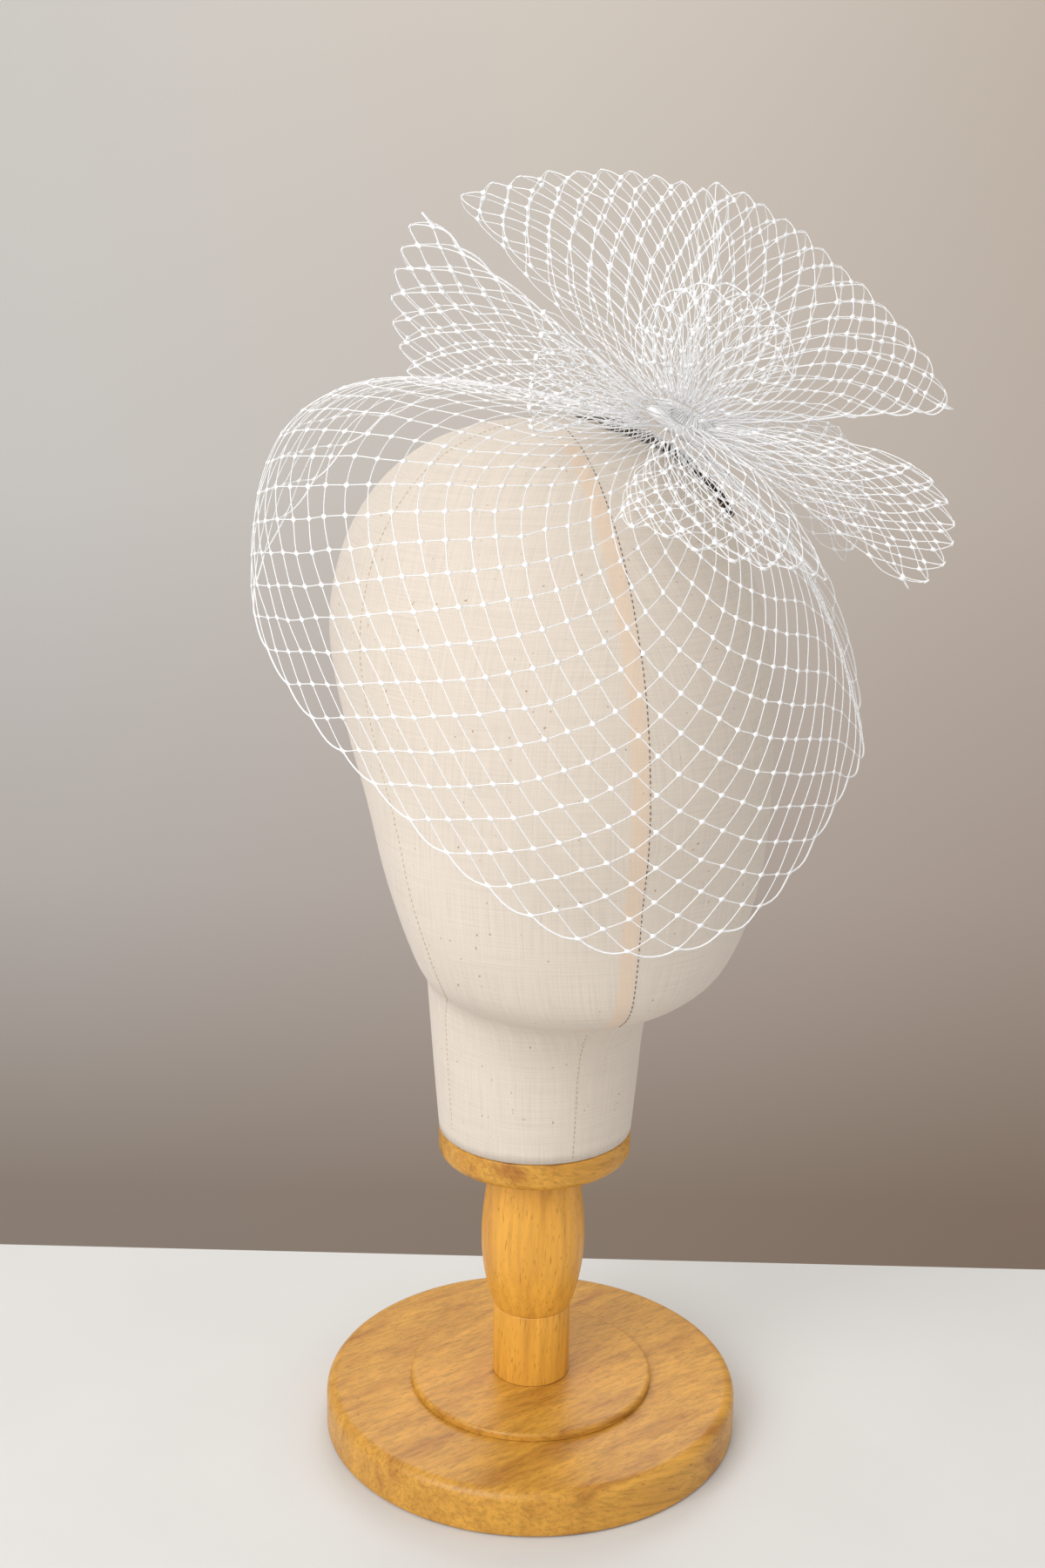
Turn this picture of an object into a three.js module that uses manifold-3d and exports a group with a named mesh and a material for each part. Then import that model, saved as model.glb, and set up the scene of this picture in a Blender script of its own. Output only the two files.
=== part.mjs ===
// A birdcage veil of diamond netting, with a pouf of net loops, on a canvas head block and its
// turned stand. Millimetres, +Z up. The origin is the centre of the base disc's underside, and the
// head faces -Y, so the wearer's left is +X.
import * as THREE from "three";
import Module from "manifold-3d";
import { mergeVertices } from "three/addons/utils/BufferGeometryUtils.js";

const wasm = await Module();
wasm.setup();

// ---------------------------------------------------------------- driving dimensions
const GAP = 0.3; // clearance between pieces that meet
const TURNED_SIDES = 40; // facets round a turned piece

const BASE_RADIUS = 90;
const BASE_THICK = 20;
const BASE_EDGE = 5; // rounding of its top edge
const BASE_FOOT_EDGE = 1.5;
const STEP_RADIUS = 53;
const STEP_TOP = 23.5;
const STEP_EDGE = 1.6;

const POST_RADIUS = 16.8;
const POST_TOP = 57; // where the plain foot of the post meets its bulb
const BULB_RADIUS = 22.4;
const BULB_NECK = 18;
const BULB_TOP = 128;

const COLLAR_RADIUS = 41;
const COLLAR_THICK = 12.4;
const COLLAR_EDGE = 4;

const HEAD_SIDES = 32; // facets round the head form
const HEAD_STEPS = 1; // rings for each row of its table

const NET_WALL = 1.1; // thickness of a net wall
const SEW_GAP = 2.4; // from the gather's surface to the middle of a net wall that starts there
const YAW = THREE.MathUtils.degToRad(22); // the pouf is arranged towards this side of the face

// Head form, one row for each section from the neck up. front, back and wide are distances from
// the stand's axis, and broadest is how far forward the widest place is.
const HEAD_ROWS = [
  { z: 141.3, front: 41, back: 41, broadest: 0, wide: 41 },
  { z: 165, front: 43, back: 43, broadest: 0, wide: 43 },
  { z: 185, front: 45, back: 45, broadest: 0, wide: 44.5 },
  { z: 200, front: 51, back: 46.5, broadest: 1, wide: 45.8 },
  { z: 207, front: 59, back: 47.3, broadest: 4, wide: 47 },
  { z: 212, front: 71, back: 48, broadest: 10, wide: 49.5 },
  { z: 218, front: 84, back: 48.6, broadest: 22, wide: 54 },
  { z: 228, front: 93, back: 48.6, broadest: 36, wide: 61 },
  { z: 246, front: 97, back: 47.5, broadest: 42, wide: 69 },
  { z: 268, front: 99.5, back: 50, broadest: 40, wide: 75.5 },
  { z: 294, front: 103.5, back: 62, broadest: 33, wide: 79.6 },
  { z: 318, front: 103, back: 76, broadest: 22, wide: 83.4 },
  { z: 345, front: 98.5, back: 87, broadest: 9, wide: 86 },
  { z: 367, front: 90.5, back: 91.5, broadest: 3, wide: 84.8 },
  { z: 392, front: 77, back: 88, broadest: 0, wide: 77.3 },
  { z: 412, front: 60.5, back: 76, broadest: 0, wide: 64.8 },
  { z: 427, front: 42, back: 56, broadest: 0, wide: 47.5 },
  { z: 436, front: 22, back: 30, broadest: 0, wide: 25.5 },
  { z: 439.3, front: 0, back: 0, broadest: 0, wide: 0 },
];
const CROWN = HEAD_ROWS.at(-1).z;
const BELOW_CROWN = 11; // a row of the head that lies below every place asked for on the crown
const HALVINGS = 30; // steps that find a height on the crown
const SLOPE_STEP = 0.5; // distance over which the crown's slope is measured

// Comb: its spine follows the crown on the wearer's left, and its teeth lie back under the pouf.
const COMB_ENDS = [new THREE.Vector3(17, -13, 1), new THREE.Vector3(68, -24, 1)];
const COMB_TEETH = 11;
const COMB_TOOTH_LENGTH = 30;
const COMB_TOOTH_RADIUS = 0.8;
const COMB_SPINE_RADIUS = 1.5;
const COMB_LIFT = 2.2; // from the linen to the middle of the spine
const COMB_DIP = 0.6; // how much nearer the linen a tooth's tip lies than its root

// Gather: the sewn bundle on the comb that every length of net springs from.
const GATHER_PLAN = { x: 42, y: -19 };
const GATHER_HALF = { along: 19, across: 8.5, up: 7.2 };

// Face net: the hem, one row for each station from behind the wearer's right, round the face, to
// behind the left. reach is how far a net line runs level before it falls, as a share of the
// way out, lift is its rise there, rise is the height of its shoulder over the hem, and swell is how
// far out that shoulder stands, as a share of the hem's distance from the axis.
const HEM_ROWS = [
  { x: -14, y: 24, z: 447, reach: 0.5, lift: 9, rise: 6, swell: 1.0 },
  { x: -40, y: 34, z: 443, reach: 0.55, lift: 11, rise: 12, swell: 1.0 },
  { x: -66, y: 33, z: 430, reach: 0.62, lift: 10, rise: 34, swell: 1.03 },
  { x: -88, y: 34, z: 408, reach: 0.66, lift: 10, rise: 61, swell: 1.05 },
  { x: -104, y: 28, z: 389, reach: 0.66, lift: 9, rise: 84, swell: 1.07 },
  { x: -115, y: 12, z: 374, reach: 0.66, lift: 8, rise: 98, swell: 1.07 },
  { x: -119, y: -8, z: 364, reach: 0.64, lift: 5, rise: 106, swell: 1.06 },
  { x: -116, y: -30, z: 350, reach: 0.62, lift: 1, rise: 112, swell: 1.05 },
  { x: -109, y: -52, z: 336, reach: 0.6, lift: -4, rise: 115, swell: 1.03 },
  { x: -96, y: -78, z: 319, reach: 0.57, lift: -9, rise: 116, swell: 1.02 },
  { x: -78, y: -102, z: 299, reach: 0.52, lift: -14, rise: 115, swell: 1.01 },
  { x: -50, y: -122, z: 277, reach: 0.48, lift: -18, rise: 112, swell: 1.0 },
  { x: -14, y: -132, z: 264, reach: 0.43, lift: -21, rise: 106, swell: 1.0 },
  { x: 26, y: -130, z: 271, reach: 0.42, lift: -22, rise: 99, swell: 0.99 },
  { x: 58, y: -118, z: 291, reach: 0.38, lift: -21, rise: 88, swell: 0.97 },
  { x: 82, y: -100, z: 307, reach: 0.36, lift: -15, rise: 76, swell: 0.95 },
  { x: 105, y: -75, z: 313, reach: 0.35, lift: -15, rise: 66, swell: 0.92 },
  { x: 122, y: -45, z: 315, reach: 0.35, lift: -15, rise: 56, swell: 0.88 },
  { x: 134, y: -22, z: 326, reach: 0.35, lift: -15, rise: 40, swell: 0.86 },
  { x: 136, y: -8, z: 346, reach: 0.35, lift: -14, rise: 22, swell: 0.85 },
  { x: 129, y: 4, z: 374, reach: 0.34, lift: -13, rise: 4, swell: 0.86 },
  { x: 112, y: 14, z: 396, reach: 0.33, lift: -11, rise: -2, swell: 0.88 },
];
const SKIRT_DROP = 6.6; // how far below the gather's waist the face net starts
const VEIL_STATIONS = 40; // facets along the hem
const VEIL_STEPS = 11; // facets from gather to hem

// Pouf: one row for each loop of net. turn is the way it points, in degrees up from the wearer's
// left, lean is its tilt forward, twist turns it about its own middle line, spread is half its
// fan's angle, reachA, reachMid and reachB are its lengths from right to left, puff is half its
// thickness, cup is how far its sides bend forward, ripple waves it across, and droop is its sag.
const LOOP_ROWS = [
  { name: "loop_left_top", turn: 152, lean: 5, twist: -4, spread: 11.5, reachA: 123, reachMid: 121,
    reachB: 112, puff: 13, cup: 3, ripple: 2, waves: 1.5, droop: -3 },
  { name: "loop_top", turn: 109, lean: -16, twist: 4, spread: 26, reachA: 84, reachMid: 103,
    reachB: 122, puff: 17, cup: 5, ripple: 4, waves: 2.2, droop: -2 },
  { name: "loop_right_top", turn: 44, lean: -14, twist: 8, spread: 36, reachA: 110, reachMid: 91,
    reachB: 92, puff: 15, cup: 6, ripple: 4, waves: 2.4, droop: 0 },
  { name: "loop_swirl", turn: 74, lean: 38, twist: 6, spread: 36, reachA: 52, reachMid: 72,
    reachB: 52, puff: 17, cup: 4, ripple: 2, waves: 1.2, droop: 0 },
  { name: "loop_right_low", turn: -10, lean: 12, twist: 10, spread: 14, reachA: 100, reachMid: 108,
    reachB: 92, puff: 12, cup: 3, ripple: 2, waves: 1.6, droop: 18 },
  { name: "loop_right_back", turn: -11, lean: -45, twist: -14, spread: 14, reachA: 118,
    reachMid: 126, reachB: 112, puff: 10, cup: -3, ripple: 2, waves: 1.7, droop: 20 },
  { name: "loop_front_low", turn: -34, lean: 78, twist: -72, spread: 31, reachA: 82, reachMid: 94,
    reachB: 82, puff: 6, cup: -5, ripple: 1.5, waves: 2.6, droop: 25 },
  { name: "loop_left_low", turn: 152, lean: 46, twist: 20, spread: 13, reachA: 98, reachMid: 94,
    reachB: 84, puff: 8, cup: -3, ripple: 2, waves: 1.4, droop: 5.5 },
];
const LOOP_STEPS = 12; // facets round a loop, from gather to gather
const LOOP_STATIONS = 7; // facets across its fan
const LOOP_ROOT = 2.8; // half the distance between a loop's two ends at the gather
const LOOP_RUN = 10; // how far out, against LOOP_ROOT, a loop's ends aim from the gather's middle
const PUFF_CURVE = 0.9; // below 1 a loop opens to its thickness sooner
const RIPPLE_START = 0.3; // where in a wave, in half waves, the first side of a loop lies

// ---------------------------------------------------------------- helpers
const vec = (x, y, z) => new THREE.Vector3(x, y, z);

// A table's row at a fractional place between its rows, on a smooth curve through them all.
function rowAt(rows, place) {
  const last = rows.length - 1;
  const i = Math.min(Math.floor(place), last - 1);
  const f = place - i;
  const pick = (k) => rows[Math.min(Math.max(k, 0), last)];
  const [a, b, c, d] = [pick(i - 1), pick(i), pick(i + 1), pick(i + 2)];
  const out = {};
  for (const key of Object.keys(b)) {
    if (typeof b[key] !== "number") continue;
    const m0 = (c[key] - a[key]) / 2;
    const m1 = (d[key] - b[key]) / 2;
    const cube = 2 * (b[key] - c[key]) + m0 + m1;
    const square = 3 * (c[key] - b[key]) - 2 * m0 - m1;
    out[key] = b[key] + m0 * f + square * f * f + cube * f ** 3;
  }
  return out;
}

function meshGeometry(points, faces) {
  const geometry = new THREE.BufferGeometry();
  geometry.setAttribute("position", new THREE.Float32BufferAttribute(
    points.flatMap((p) => [p.x, p.y, p.z]), 3));
  geometry.setIndex(faces);
  geometry.computeVertexNormals();
  return geometry;
}

// A solid through closed rings of points, with its first ring capped and its last drawn to a tip.
function loft(rings, tip) {
  const n = rings[0].length;
  const points = rings.flat();
  const faces = [];
  for (let k = 0; k + 1 < rings.length; k += 1) {
    for (let i = 0; i < n; i += 1) {
      const j = (i + 1) % n;
      const [a, b, c, d] = [k * n + i, k * n + j, (k + 1) * n + j, (k + 1) * n + i];
      faces.push(a, b, c, a, c, d);
    }
  }
  const foot = points.length;
  const centre = rings[0].reduce((s, p) => s.add(p), vec(0, 0, 0)).divideScalar(n);
  points.push(centre, tip);
  const top = (rings.length - 1) * n;
  for (let i = 0; i < n; i += 1) {
    const j = (i + 1) % n;
    faces.push(foot, j, i, foot + 1, top + i, top + j);
  }
  return meshGeometry(points, faces);
}

// A wall of cloth: a sheet of points given by at(u, v), thickened to both sides of itself.
function wall(at, uSteps, vSteps, thick) {
  const e = 1e-3;
  const face = (side) => {
    const out = [];
    for (let i = 0; i <= uSteps; i += 1) {
      for (let j = 0; j <= vSteps; j += 1) {
        const u = i / uSteps;
        const v = j / vSteps;
        const du = at(Math.min(u + e, 1), v).sub(at(Math.max(u - e, 0), v));
        const dv = at(u, Math.min(v + e, 1)).sub(at(u, Math.max(v - e, 0)));
        const normal = du.cross(dv).normalize();
        out.push(at(u, v).addScaledVector(normal, (side * thick) / 2));
      }
    }
    return out;
  };
  const points = [...face(1), ...face(-1)];
  const row = vSteps + 1;
  const back = (uSteps + 1) * row;
  const faces = [];
  const quad = (a, b, c, d) => faces.push(a, b, c, a, c, d);
  for (let i = 0; i < uSteps; i += 1) {
    for (let j = 0; j < vSteps; j += 1) {
      const a = i * row + j;
      quad(a, a + row, a + row + 1, a + 1);
      quad(back + a, back + a + 1, back + a + row + 1, back + a + row);
    }
  }
  for (let i = 0; i < uSteps; i += 1) {
    const a = i * row;
    const b = a + vSteps;
    quad(a, back + a, back + a + row, a + row);
    quad(b, b + row, back + b + row, back + b);
  }
  for (let j = 0; j < vSteps; j += 1) {
    const b = uSteps * row + j;
    quad(j, j + 1, back + j + 1, back + j);
    quad(b, back + b, back + b + 1, b + 1);
  }
  return meshGeometry(points, faces);
}

function asManifold(geometry) {
  const bare = geometry.clone();
  for (const name of ["normal", "uv"]) bare.deleteAttribute(name);
  const merged = mergeVertices(bare, 1e-4);
  return new wasm.Manifold(new wasm.Mesh({
    numProp: 3,
    vertProperties: new Float32Array(merged.attributes.position.array),
    triVerts: new Uint32Array(merged.index.array),
  }));
}

function fromManifold(solid) {
  const { vertProperties, triVerts } = solid.getMesh();
  const geometry = new THREE.BufferGeometry();
  geometry.setAttribute("position", new THREE.BufferAttribute(vertProperties, 3));
  geometry.setIndex(new THREE.BufferAttribute(triVerts, 1));
  geometry.computeVertexNormals();
  return geometry;
}

function rounded(cx, cy, radius, from, to, steps) {
  return Array.from({ length: steps + 1 }, (_, k) => {
    const a = THREE.MathUtils.degToRad(from + ((to - from) * k) / steps);
    return new THREE.Vector2(cx + radius * Math.cos(a), cy + radius * Math.sin(a));
  });
}

// A turned piece: LatheGeometry spins about +Y, so it is stood up on +Z.
function turned(profile) {
  return new THREE.LatheGeometry(profile, TURNED_SIDES).rotateX(Math.PI / 2);
}

const flat = (r, z) => new THREE.Vector2(r, z);

// ---------------------------------------------------------------- stand
function baseDisc() {
  const r = BASE_RADIUS;
  return turned([
    flat(0, 0),
    ...rounded(r - BASE_FOOT_EDGE, BASE_FOOT_EDGE, BASE_FOOT_EDGE, -90, 0, 2),
    ...rounded(r - BASE_EDGE, BASE_THICK - BASE_EDGE, BASE_EDGE, 0, 90, 4),
    flat(0, BASE_THICK),
  ]);
}

function baseStep() {
  return turned([
    flat(0, BASE_THICK + GAP),
    flat(STEP_RADIUS, BASE_THICK + GAP),
    ...rounded(STEP_RADIUS - STEP_EDGE, STEP_TOP - STEP_EDGE, STEP_EDGE, 0, 90, 2),
    flat(0, STEP_TOP),
  ]);
}

function postFoot() {
  return turned([
    flat(0, STEP_TOP + GAP),
    flat(POST_RADIUS, STEP_TOP + GAP),
    flat(POST_RADIUS, POST_TOP - GAP),
    flat(0, POST_TOP - GAP),
  ]);
}

function postBulb() {
  const steps = 12;
  const side = Array.from({ length: steps + 1 }, (_, k) => {
    const f = k / steps;
    const end = THREE.MathUtils.lerp(POST_RADIUS, BULB_NECK, f);
    const swell = Math.sin(Math.PI * f ** 0.86);
    return flat(end + (BULB_RADIUS - end) * swell, THREE.MathUtils.lerp(POST_TOP, BULB_TOP, f));
  });
  return turned([flat(0, POST_TOP), ...side, flat(0, BULB_TOP)]);
}

function collar() {
  const foot = BULB_TOP + GAP;
  return turned([
    flat(0, foot),
    ...rounded(COLLAR_RADIUS - COLLAR_EDGE, foot + COLLAR_EDGE, COLLAR_EDGE, -90, 0, 3),
    flat(COLLAR_RADIUS, foot + COLLAR_THICK),
    flat(0, foot + COLLAR_THICK),
  ]);
}

// ---------------------------------------------------------------- head form
// A point on a head section at an angle, 0 straight ahead and growing to the wearer's left.
function headPoint(row, angle) {
  const ahead = Math.cos(angle);
  const depth = ahead > 0 ? row.front - row.broadest : row.back + row.broadest;
  return vec(row.wide * Math.sin(angle), -row.broadest - depth * ahead, row.z);
}

function headForm() {
  const last = HEAD_ROWS.length - 1;
  const count = last * HEAD_STEPS;
  const rings = [];
  for (let k = 0; k < count; k += 1) {
    const row = rowAt(HEAD_ROWS, k / HEAD_STEPS);
    rings.push(Array.from({ length: HEAD_SIDES }, (_, i) => (
      headPoint(row, (2 * Math.PI * i) / HEAD_SIDES))));
  }
  return loft(rings, vec(0, 0, CROWN));
}

// The height of the crown over a place in plan, by halving the heights that it lies between.
function crownHeight(x, y) {
  let [low, high] = [BELOW_CROWN, HEAD_ROWS.length - 1];
  for (let k = 0; k < HALVINGS; k += 1) {
    const middle = (low + high) / 2;
    const row = rowAt(HEAD_ROWS, middle);
    const depth = y < -row.broadest ? row.front - row.broadest : row.back + row.broadest;
    const inside = (x / row.wide) ** 2 + ((y + row.broadest) / depth) ** 2 < 1;
    if (inside) low = middle;
    else high = middle;
  }
  return rowAt(HEAD_ROWS, low).z;
}

// A place on the crown, moved out from the linen by a distance.
function onCrown(x, y, out) {
  const e = SLOPE_STEP;
  const slopeX = (crownHeight(x + e, y) - crownHeight(x - e, y)) / (2 * e);
  const slopeY = (crownHeight(x, y + e) - crownHeight(x, y - e)) / (2 * e);
  const normal = vec(-slopeX, -slopeY, 1).normalize();
  return vec(x, y, crownHeight(x, y)).addScaledVector(normal, out);
}

// ---------------------------------------------------------------- comb
function rod(points, radius, sides) {
  const curve = new THREE.CatmullRomCurve3(points);
  const section = new THREE.Shape(rounded(0, 0, radius, 0, 360, sides).slice(0, sides));
  return new THREE.ExtrudeGeometry(section, {
    steps: points.length * 2 - 2, extrudePath: curve, bevelEnabled: false,
  });
}

function comb() {
  const [from, to] = COMB_ENDS;
  const along = (f) => from.clone().lerp(to, f);
  const spineStops = [0, 0.2, 0.4, 0.6, 0.8, 1].map((f) => onCrown(along(f).x, along(f).y, COMB_LIFT));
  let solid = asManifold(rod(spineStops, COMB_SPINE_RADIUS, 8));
  for (let k = 0; k < COMB_TEETH; k += 1) {
    const root = along((k + 0.5) / COMB_TEETH);
    const stops = [0, 0.5, 1].map((f) => (
      onCrown(root.x, root.y + f * COMB_TOOTH_LENGTH, COMB_LIFT - COMB_DIP * f)));
    solid = solid.add(asManifold(rod(stops, COMB_TOOTH_RADIUS, 6)));
  }
  return fromManifold(solid);
}

// ---------------------------------------------------------------- gather and its axes
const GATHER = onCrown(GATHER_PLAN.x, GATHER_PLAN.y,
  COMB_LIFT + COMB_SPINE_RADIUS + GAP + GATHER_HALF.up);
const GATHER_UP = GATHER.clone().sub(onCrown(GATHER_PLAN.x, GATHER_PLAN.y, 0)).normalize();
const COMB_LINE = COMB_ENDS[1].clone().sub(COMB_ENDS[0]).setZ(0);
COMB_LINE.addScaledVector(GATHER_UP, -COMB_LINE.dot(GATHER_UP)).normalize();
const GATHER_ACROSS = GATHER_UP.clone().cross(COMB_LINE).normalize();

// A place on the gather's surface in a direction from its middle, swollen by a distance.
function onGather(direction, swell) {
  const a = direction.dot(COMB_LINE) / (GATHER_HALF.along + swell);
  const b = direction.dot(GATHER_ACROSS) / (GATHER_HALF.across + swell);
  const c = direction.dot(GATHER_UP) / (GATHER_HALF.up + swell);
  return GATHER.clone().addScaledVector(direction, 1 / Math.hypot(a, b, c));
}

function gather() {
  const frame = new THREE.Matrix4().makeBasis(COMB_LINE, GATHER_ACROSS, GATHER_UP);
  const size = GATHER_HALF;
  return fromManifold(asManifold(new THREE.SphereGeometry(1, 20, 12)
    .scale(size.along, size.across, size.up)
    .applyMatrix4(frame)
    .translate(GATHER.x, GATHER.y, GATHER.z)));
}

// ---------------------------------------------------------------- face net
// A place on the face net: u runs along the hem, v from the gather to the hem.
function veilPoint(u, v) {
  const row = rowAt(HEM_ROWS, u * (HEM_ROWS.length - 1));
  const hem = vec(row.x, row.y, row.z);
  const level = vec(row.x - GATHER.x, row.y - GATHER.y, 0);
  const skirt = level.clone().addScaledVector(GATHER_UP, -level.dot(GATHER_UP)).normalize();
  const waist = onGather(skirt, SEW_GAP).addScaledVector(GATHER_UP, -SKIRT_DROP);
  const start = onGather(waist.sub(GATHER).normalize(), SEW_GAP);
  const first = start.clone().addScaledVector(level, row.reach).add(vec(0, 0, row.lift));
  const shoulder = vec(row.x * row.swell, row.y * row.swell, row.z + row.rise);
  return new THREE.CubicBezierCurve3(start, first, shoulder, hem).getPoint(v);
}

function veil() {
  return wall(veilPoint, VEIL_STATIONS, VEIL_STEPS, NET_WALL);
}

// ---------------------------------------------------------------- pouf loops
const POUF_RIGHT = vec(Math.cos(YAW), -Math.sin(YAW), 0);
const POUF_FRONT = vec(-Math.sin(YAW), -Math.cos(YAW), 0);

// The three axes of a loop: its middle line, the way its fan opens, and its thickness.
function loopAxes(loop) {
  const turn = THREE.MathUtils.degToRad(loop.turn);
  const lean = THREE.MathUtils.degToRad(loop.lean);
  const middle = POUF_RIGHT.clone().multiplyScalar(Math.cos(turn))
    .add(vec(0, 0, Math.sin(turn))).multiplyScalar(Math.cos(lean))
    .addScaledVector(POUF_FRONT, Math.sin(lean));
  const thick = POUF_FRONT.clone().addScaledVector(middle, -POUF_FRONT.dot(middle)).normalize()
    .applyAxisAngle(middle, THREE.MathUtils.degToRad(loop.twist));
  return { middle, thick, fan: thick.clone().cross(middle) };
}

// A place on a loop: u runs out from the gather, over its fold and back, v across its fan.
function loopPoint(loop, axes, u, v) {
  const side = 2 * v - 1;
  const angle = side * THREE.MathUtils.degToRad(loop.spread);
  const way = axes.middle.clone().multiplyScalar(Math.cos(angle))
    .addScaledVector(axes.fan, Math.sin(angle));
  const reach = loop.reachMid + (side * (loop.reachB - loop.reachA)) / 2
    + side * side * ((loop.reachA + loop.reachB) / 2 - loop.reachMid);
  const out = Math.sin(Math.PI * u);
  const half = Math.cos(Math.PI * u);
  const offset = half * (LOOP_ROOT + (loop.puff - LOOP_ROOT) * out ** PUFF_CURVE);
  const root = onGather(way.clone().multiplyScalar(LOOP_RUN)
    .addScaledVector(axes.thick, half * LOOP_ROOT).normalize(), SEW_GAP);
  const rootOut = root.clone().sub(GATHER).dot(way);
  const radial = rootOut + (reach - rootOut) * out;
  const ripple = loop.ripple * Math.sin(Math.PI * (loop.waves * v + RIPPLE_START));
  const bend = (loop.cup * side * side + ripple) * (radial / reach) ** 2;
  const sag = loop.droop * (radial / reach) ** 2;
  return GATHER.clone().addScaledVector(way, radial).addScaledVector(axes.thick, offset + bend)
    .add(vec(0, 0, -sag));
}

function netLoop(loop) {
  const axes = loopAxes(loop);
  return wall((u, v) => loopPoint(loop, axes, u, v), LOOP_STEPS, LOOP_STATIONS, NET_WALL);
}

// ---------------------------------------------------------------- scene graph
const wood = () => new THREE.MeshStandardMaterial({ color: 0xc98b45, roughness: 0.42, metalness: 0 });
const linen = () => new THREE.MeshStandardMaterial({ color: 0xe9dcc4, roughness: 0.92, metalness: 0 });
const net = () => new THREE.MeshStandardMaterial({ color: 0xf4f4f6, roughness: 0.5, metalness: 0 });
const black = () => new THREE.MeshStandardMaterial({ color: 0x2c2623, roughness: 0.5, metalness: 0.2 });

function piece(name, geometry, material) {
  const mesh = new THREE.Mesh(geometry, material);
  mesh.name = name;
  return mesh;
}

const stand = new THREE.Group();
stand.add(piece("base_disc", baseDisc(), wood()));
stand.add(piece("base_step", baseStep(), wood()));
stand.add(piece("post_foot", postFoot(), wood()));
stand.add(piece("post_bulb", postBulb(), wood()));
stand.add(piece("collar", collar(), wood()));
stand.add(piece("head_form", headForm(), linen()));

const pouf = new THREE.Group();
for (const loop of LOOP_ROWS) pouf.add(piece(loop.name, netLoop(loop), net()));

const headpiece = new THREE.Group();
headpiece.add(piece("comb", comb(), black()));
headpiece.add(piece("gather", gather(), net()));
headpiece.add(piece("face_net", veil(), net()));
headpiece.add(pouf);

const model = new THREE.Group();
model.add(stand, headpiece);

export default model;
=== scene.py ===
"""A birdcage veil of diamond netting and its pouf of net loops, dressed on a linen head block.

Tables of shape are in millimetres, in the frame's axes: +Z up, -Y the way the head faces and +X the
wearer's left. Everything that is built from them is in metres.
"""
import math

import bmesh
import bpy
import numpy as np
from bpy.props import FloatProperty, FloatVectorProperty, IntProperty, PointerProperty
from mathutils import Matrix, Vector
from mathutils.bvhtree import BVHTree


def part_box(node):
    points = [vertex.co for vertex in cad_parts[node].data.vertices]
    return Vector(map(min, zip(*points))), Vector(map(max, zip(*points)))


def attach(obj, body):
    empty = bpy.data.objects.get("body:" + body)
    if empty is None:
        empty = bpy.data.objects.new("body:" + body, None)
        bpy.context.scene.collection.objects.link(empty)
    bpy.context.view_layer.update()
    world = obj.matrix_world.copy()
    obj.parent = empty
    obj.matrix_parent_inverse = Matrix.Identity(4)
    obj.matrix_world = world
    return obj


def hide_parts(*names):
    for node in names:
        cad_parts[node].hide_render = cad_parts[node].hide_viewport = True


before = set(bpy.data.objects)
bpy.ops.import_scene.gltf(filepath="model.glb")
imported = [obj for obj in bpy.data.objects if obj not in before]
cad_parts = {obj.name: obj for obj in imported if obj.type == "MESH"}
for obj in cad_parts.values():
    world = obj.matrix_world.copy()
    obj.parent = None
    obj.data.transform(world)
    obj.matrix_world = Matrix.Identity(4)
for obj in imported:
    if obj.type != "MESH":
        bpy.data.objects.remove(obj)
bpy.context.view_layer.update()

bl_info = {
    "name": "Birdcage veil",
    "version": (1, 0, 0),
    "blender": (4, 5, 0),
    "location": "View3D > Sidebar > Veil",
    "description": "Builds a net veil with its pouf, head block and stand around a fixed frame",
    "category": "Object",
}

MM = 0.001
BODY = "root"


# ---------------------------------------------------------------- tables
def table(columns, *rows):
    """A table as a dictionary of arrays, one for each named column."""
    values = np.array(rows, float)
    return {name: values[:, i] for i, name in enumerate(columns.split())}


# Head block, a row for each section from the neck up. front, back and wide are distances from
# the stand's axis, and broadest is how far forward the widest place is.
HEAD = table(
    "z front back broadest wide",
    (141.3, 41, 41, 0, 41),
    (165, 43, 43, 0, 43),
    (185, 45, 45, 0, 44.5),
    (200, 51, 46.5, 1, 45.8),
    (207, 59, 47.3, 4, 47),
    (212, 71, 48, 10, 49.5),
    (218, 84, 48.6, 22, 54),
    (228, 93, 48.6, 36, 61),
    (246, 97, 47.5, 42, 69),
    (268, 99.5, 50, 40, 75.5),
    (294, 103.5, 62, 33, 79.6),
    (318, 103, 76, 22, 83.4),
    (345, 98.5, 87, 9, 86),
    (367, 90.5, 91.5, 3, 84.8),
    (392, 77, 88, 0, 77.3),
    (412, 60.5, 76, 0, 64.8),
    (427, 42, 56, 0, 47.5),
    (436, 22, 30, 0, 25.5),
    (439.3, 0, 0, 0, 0),
)

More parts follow.
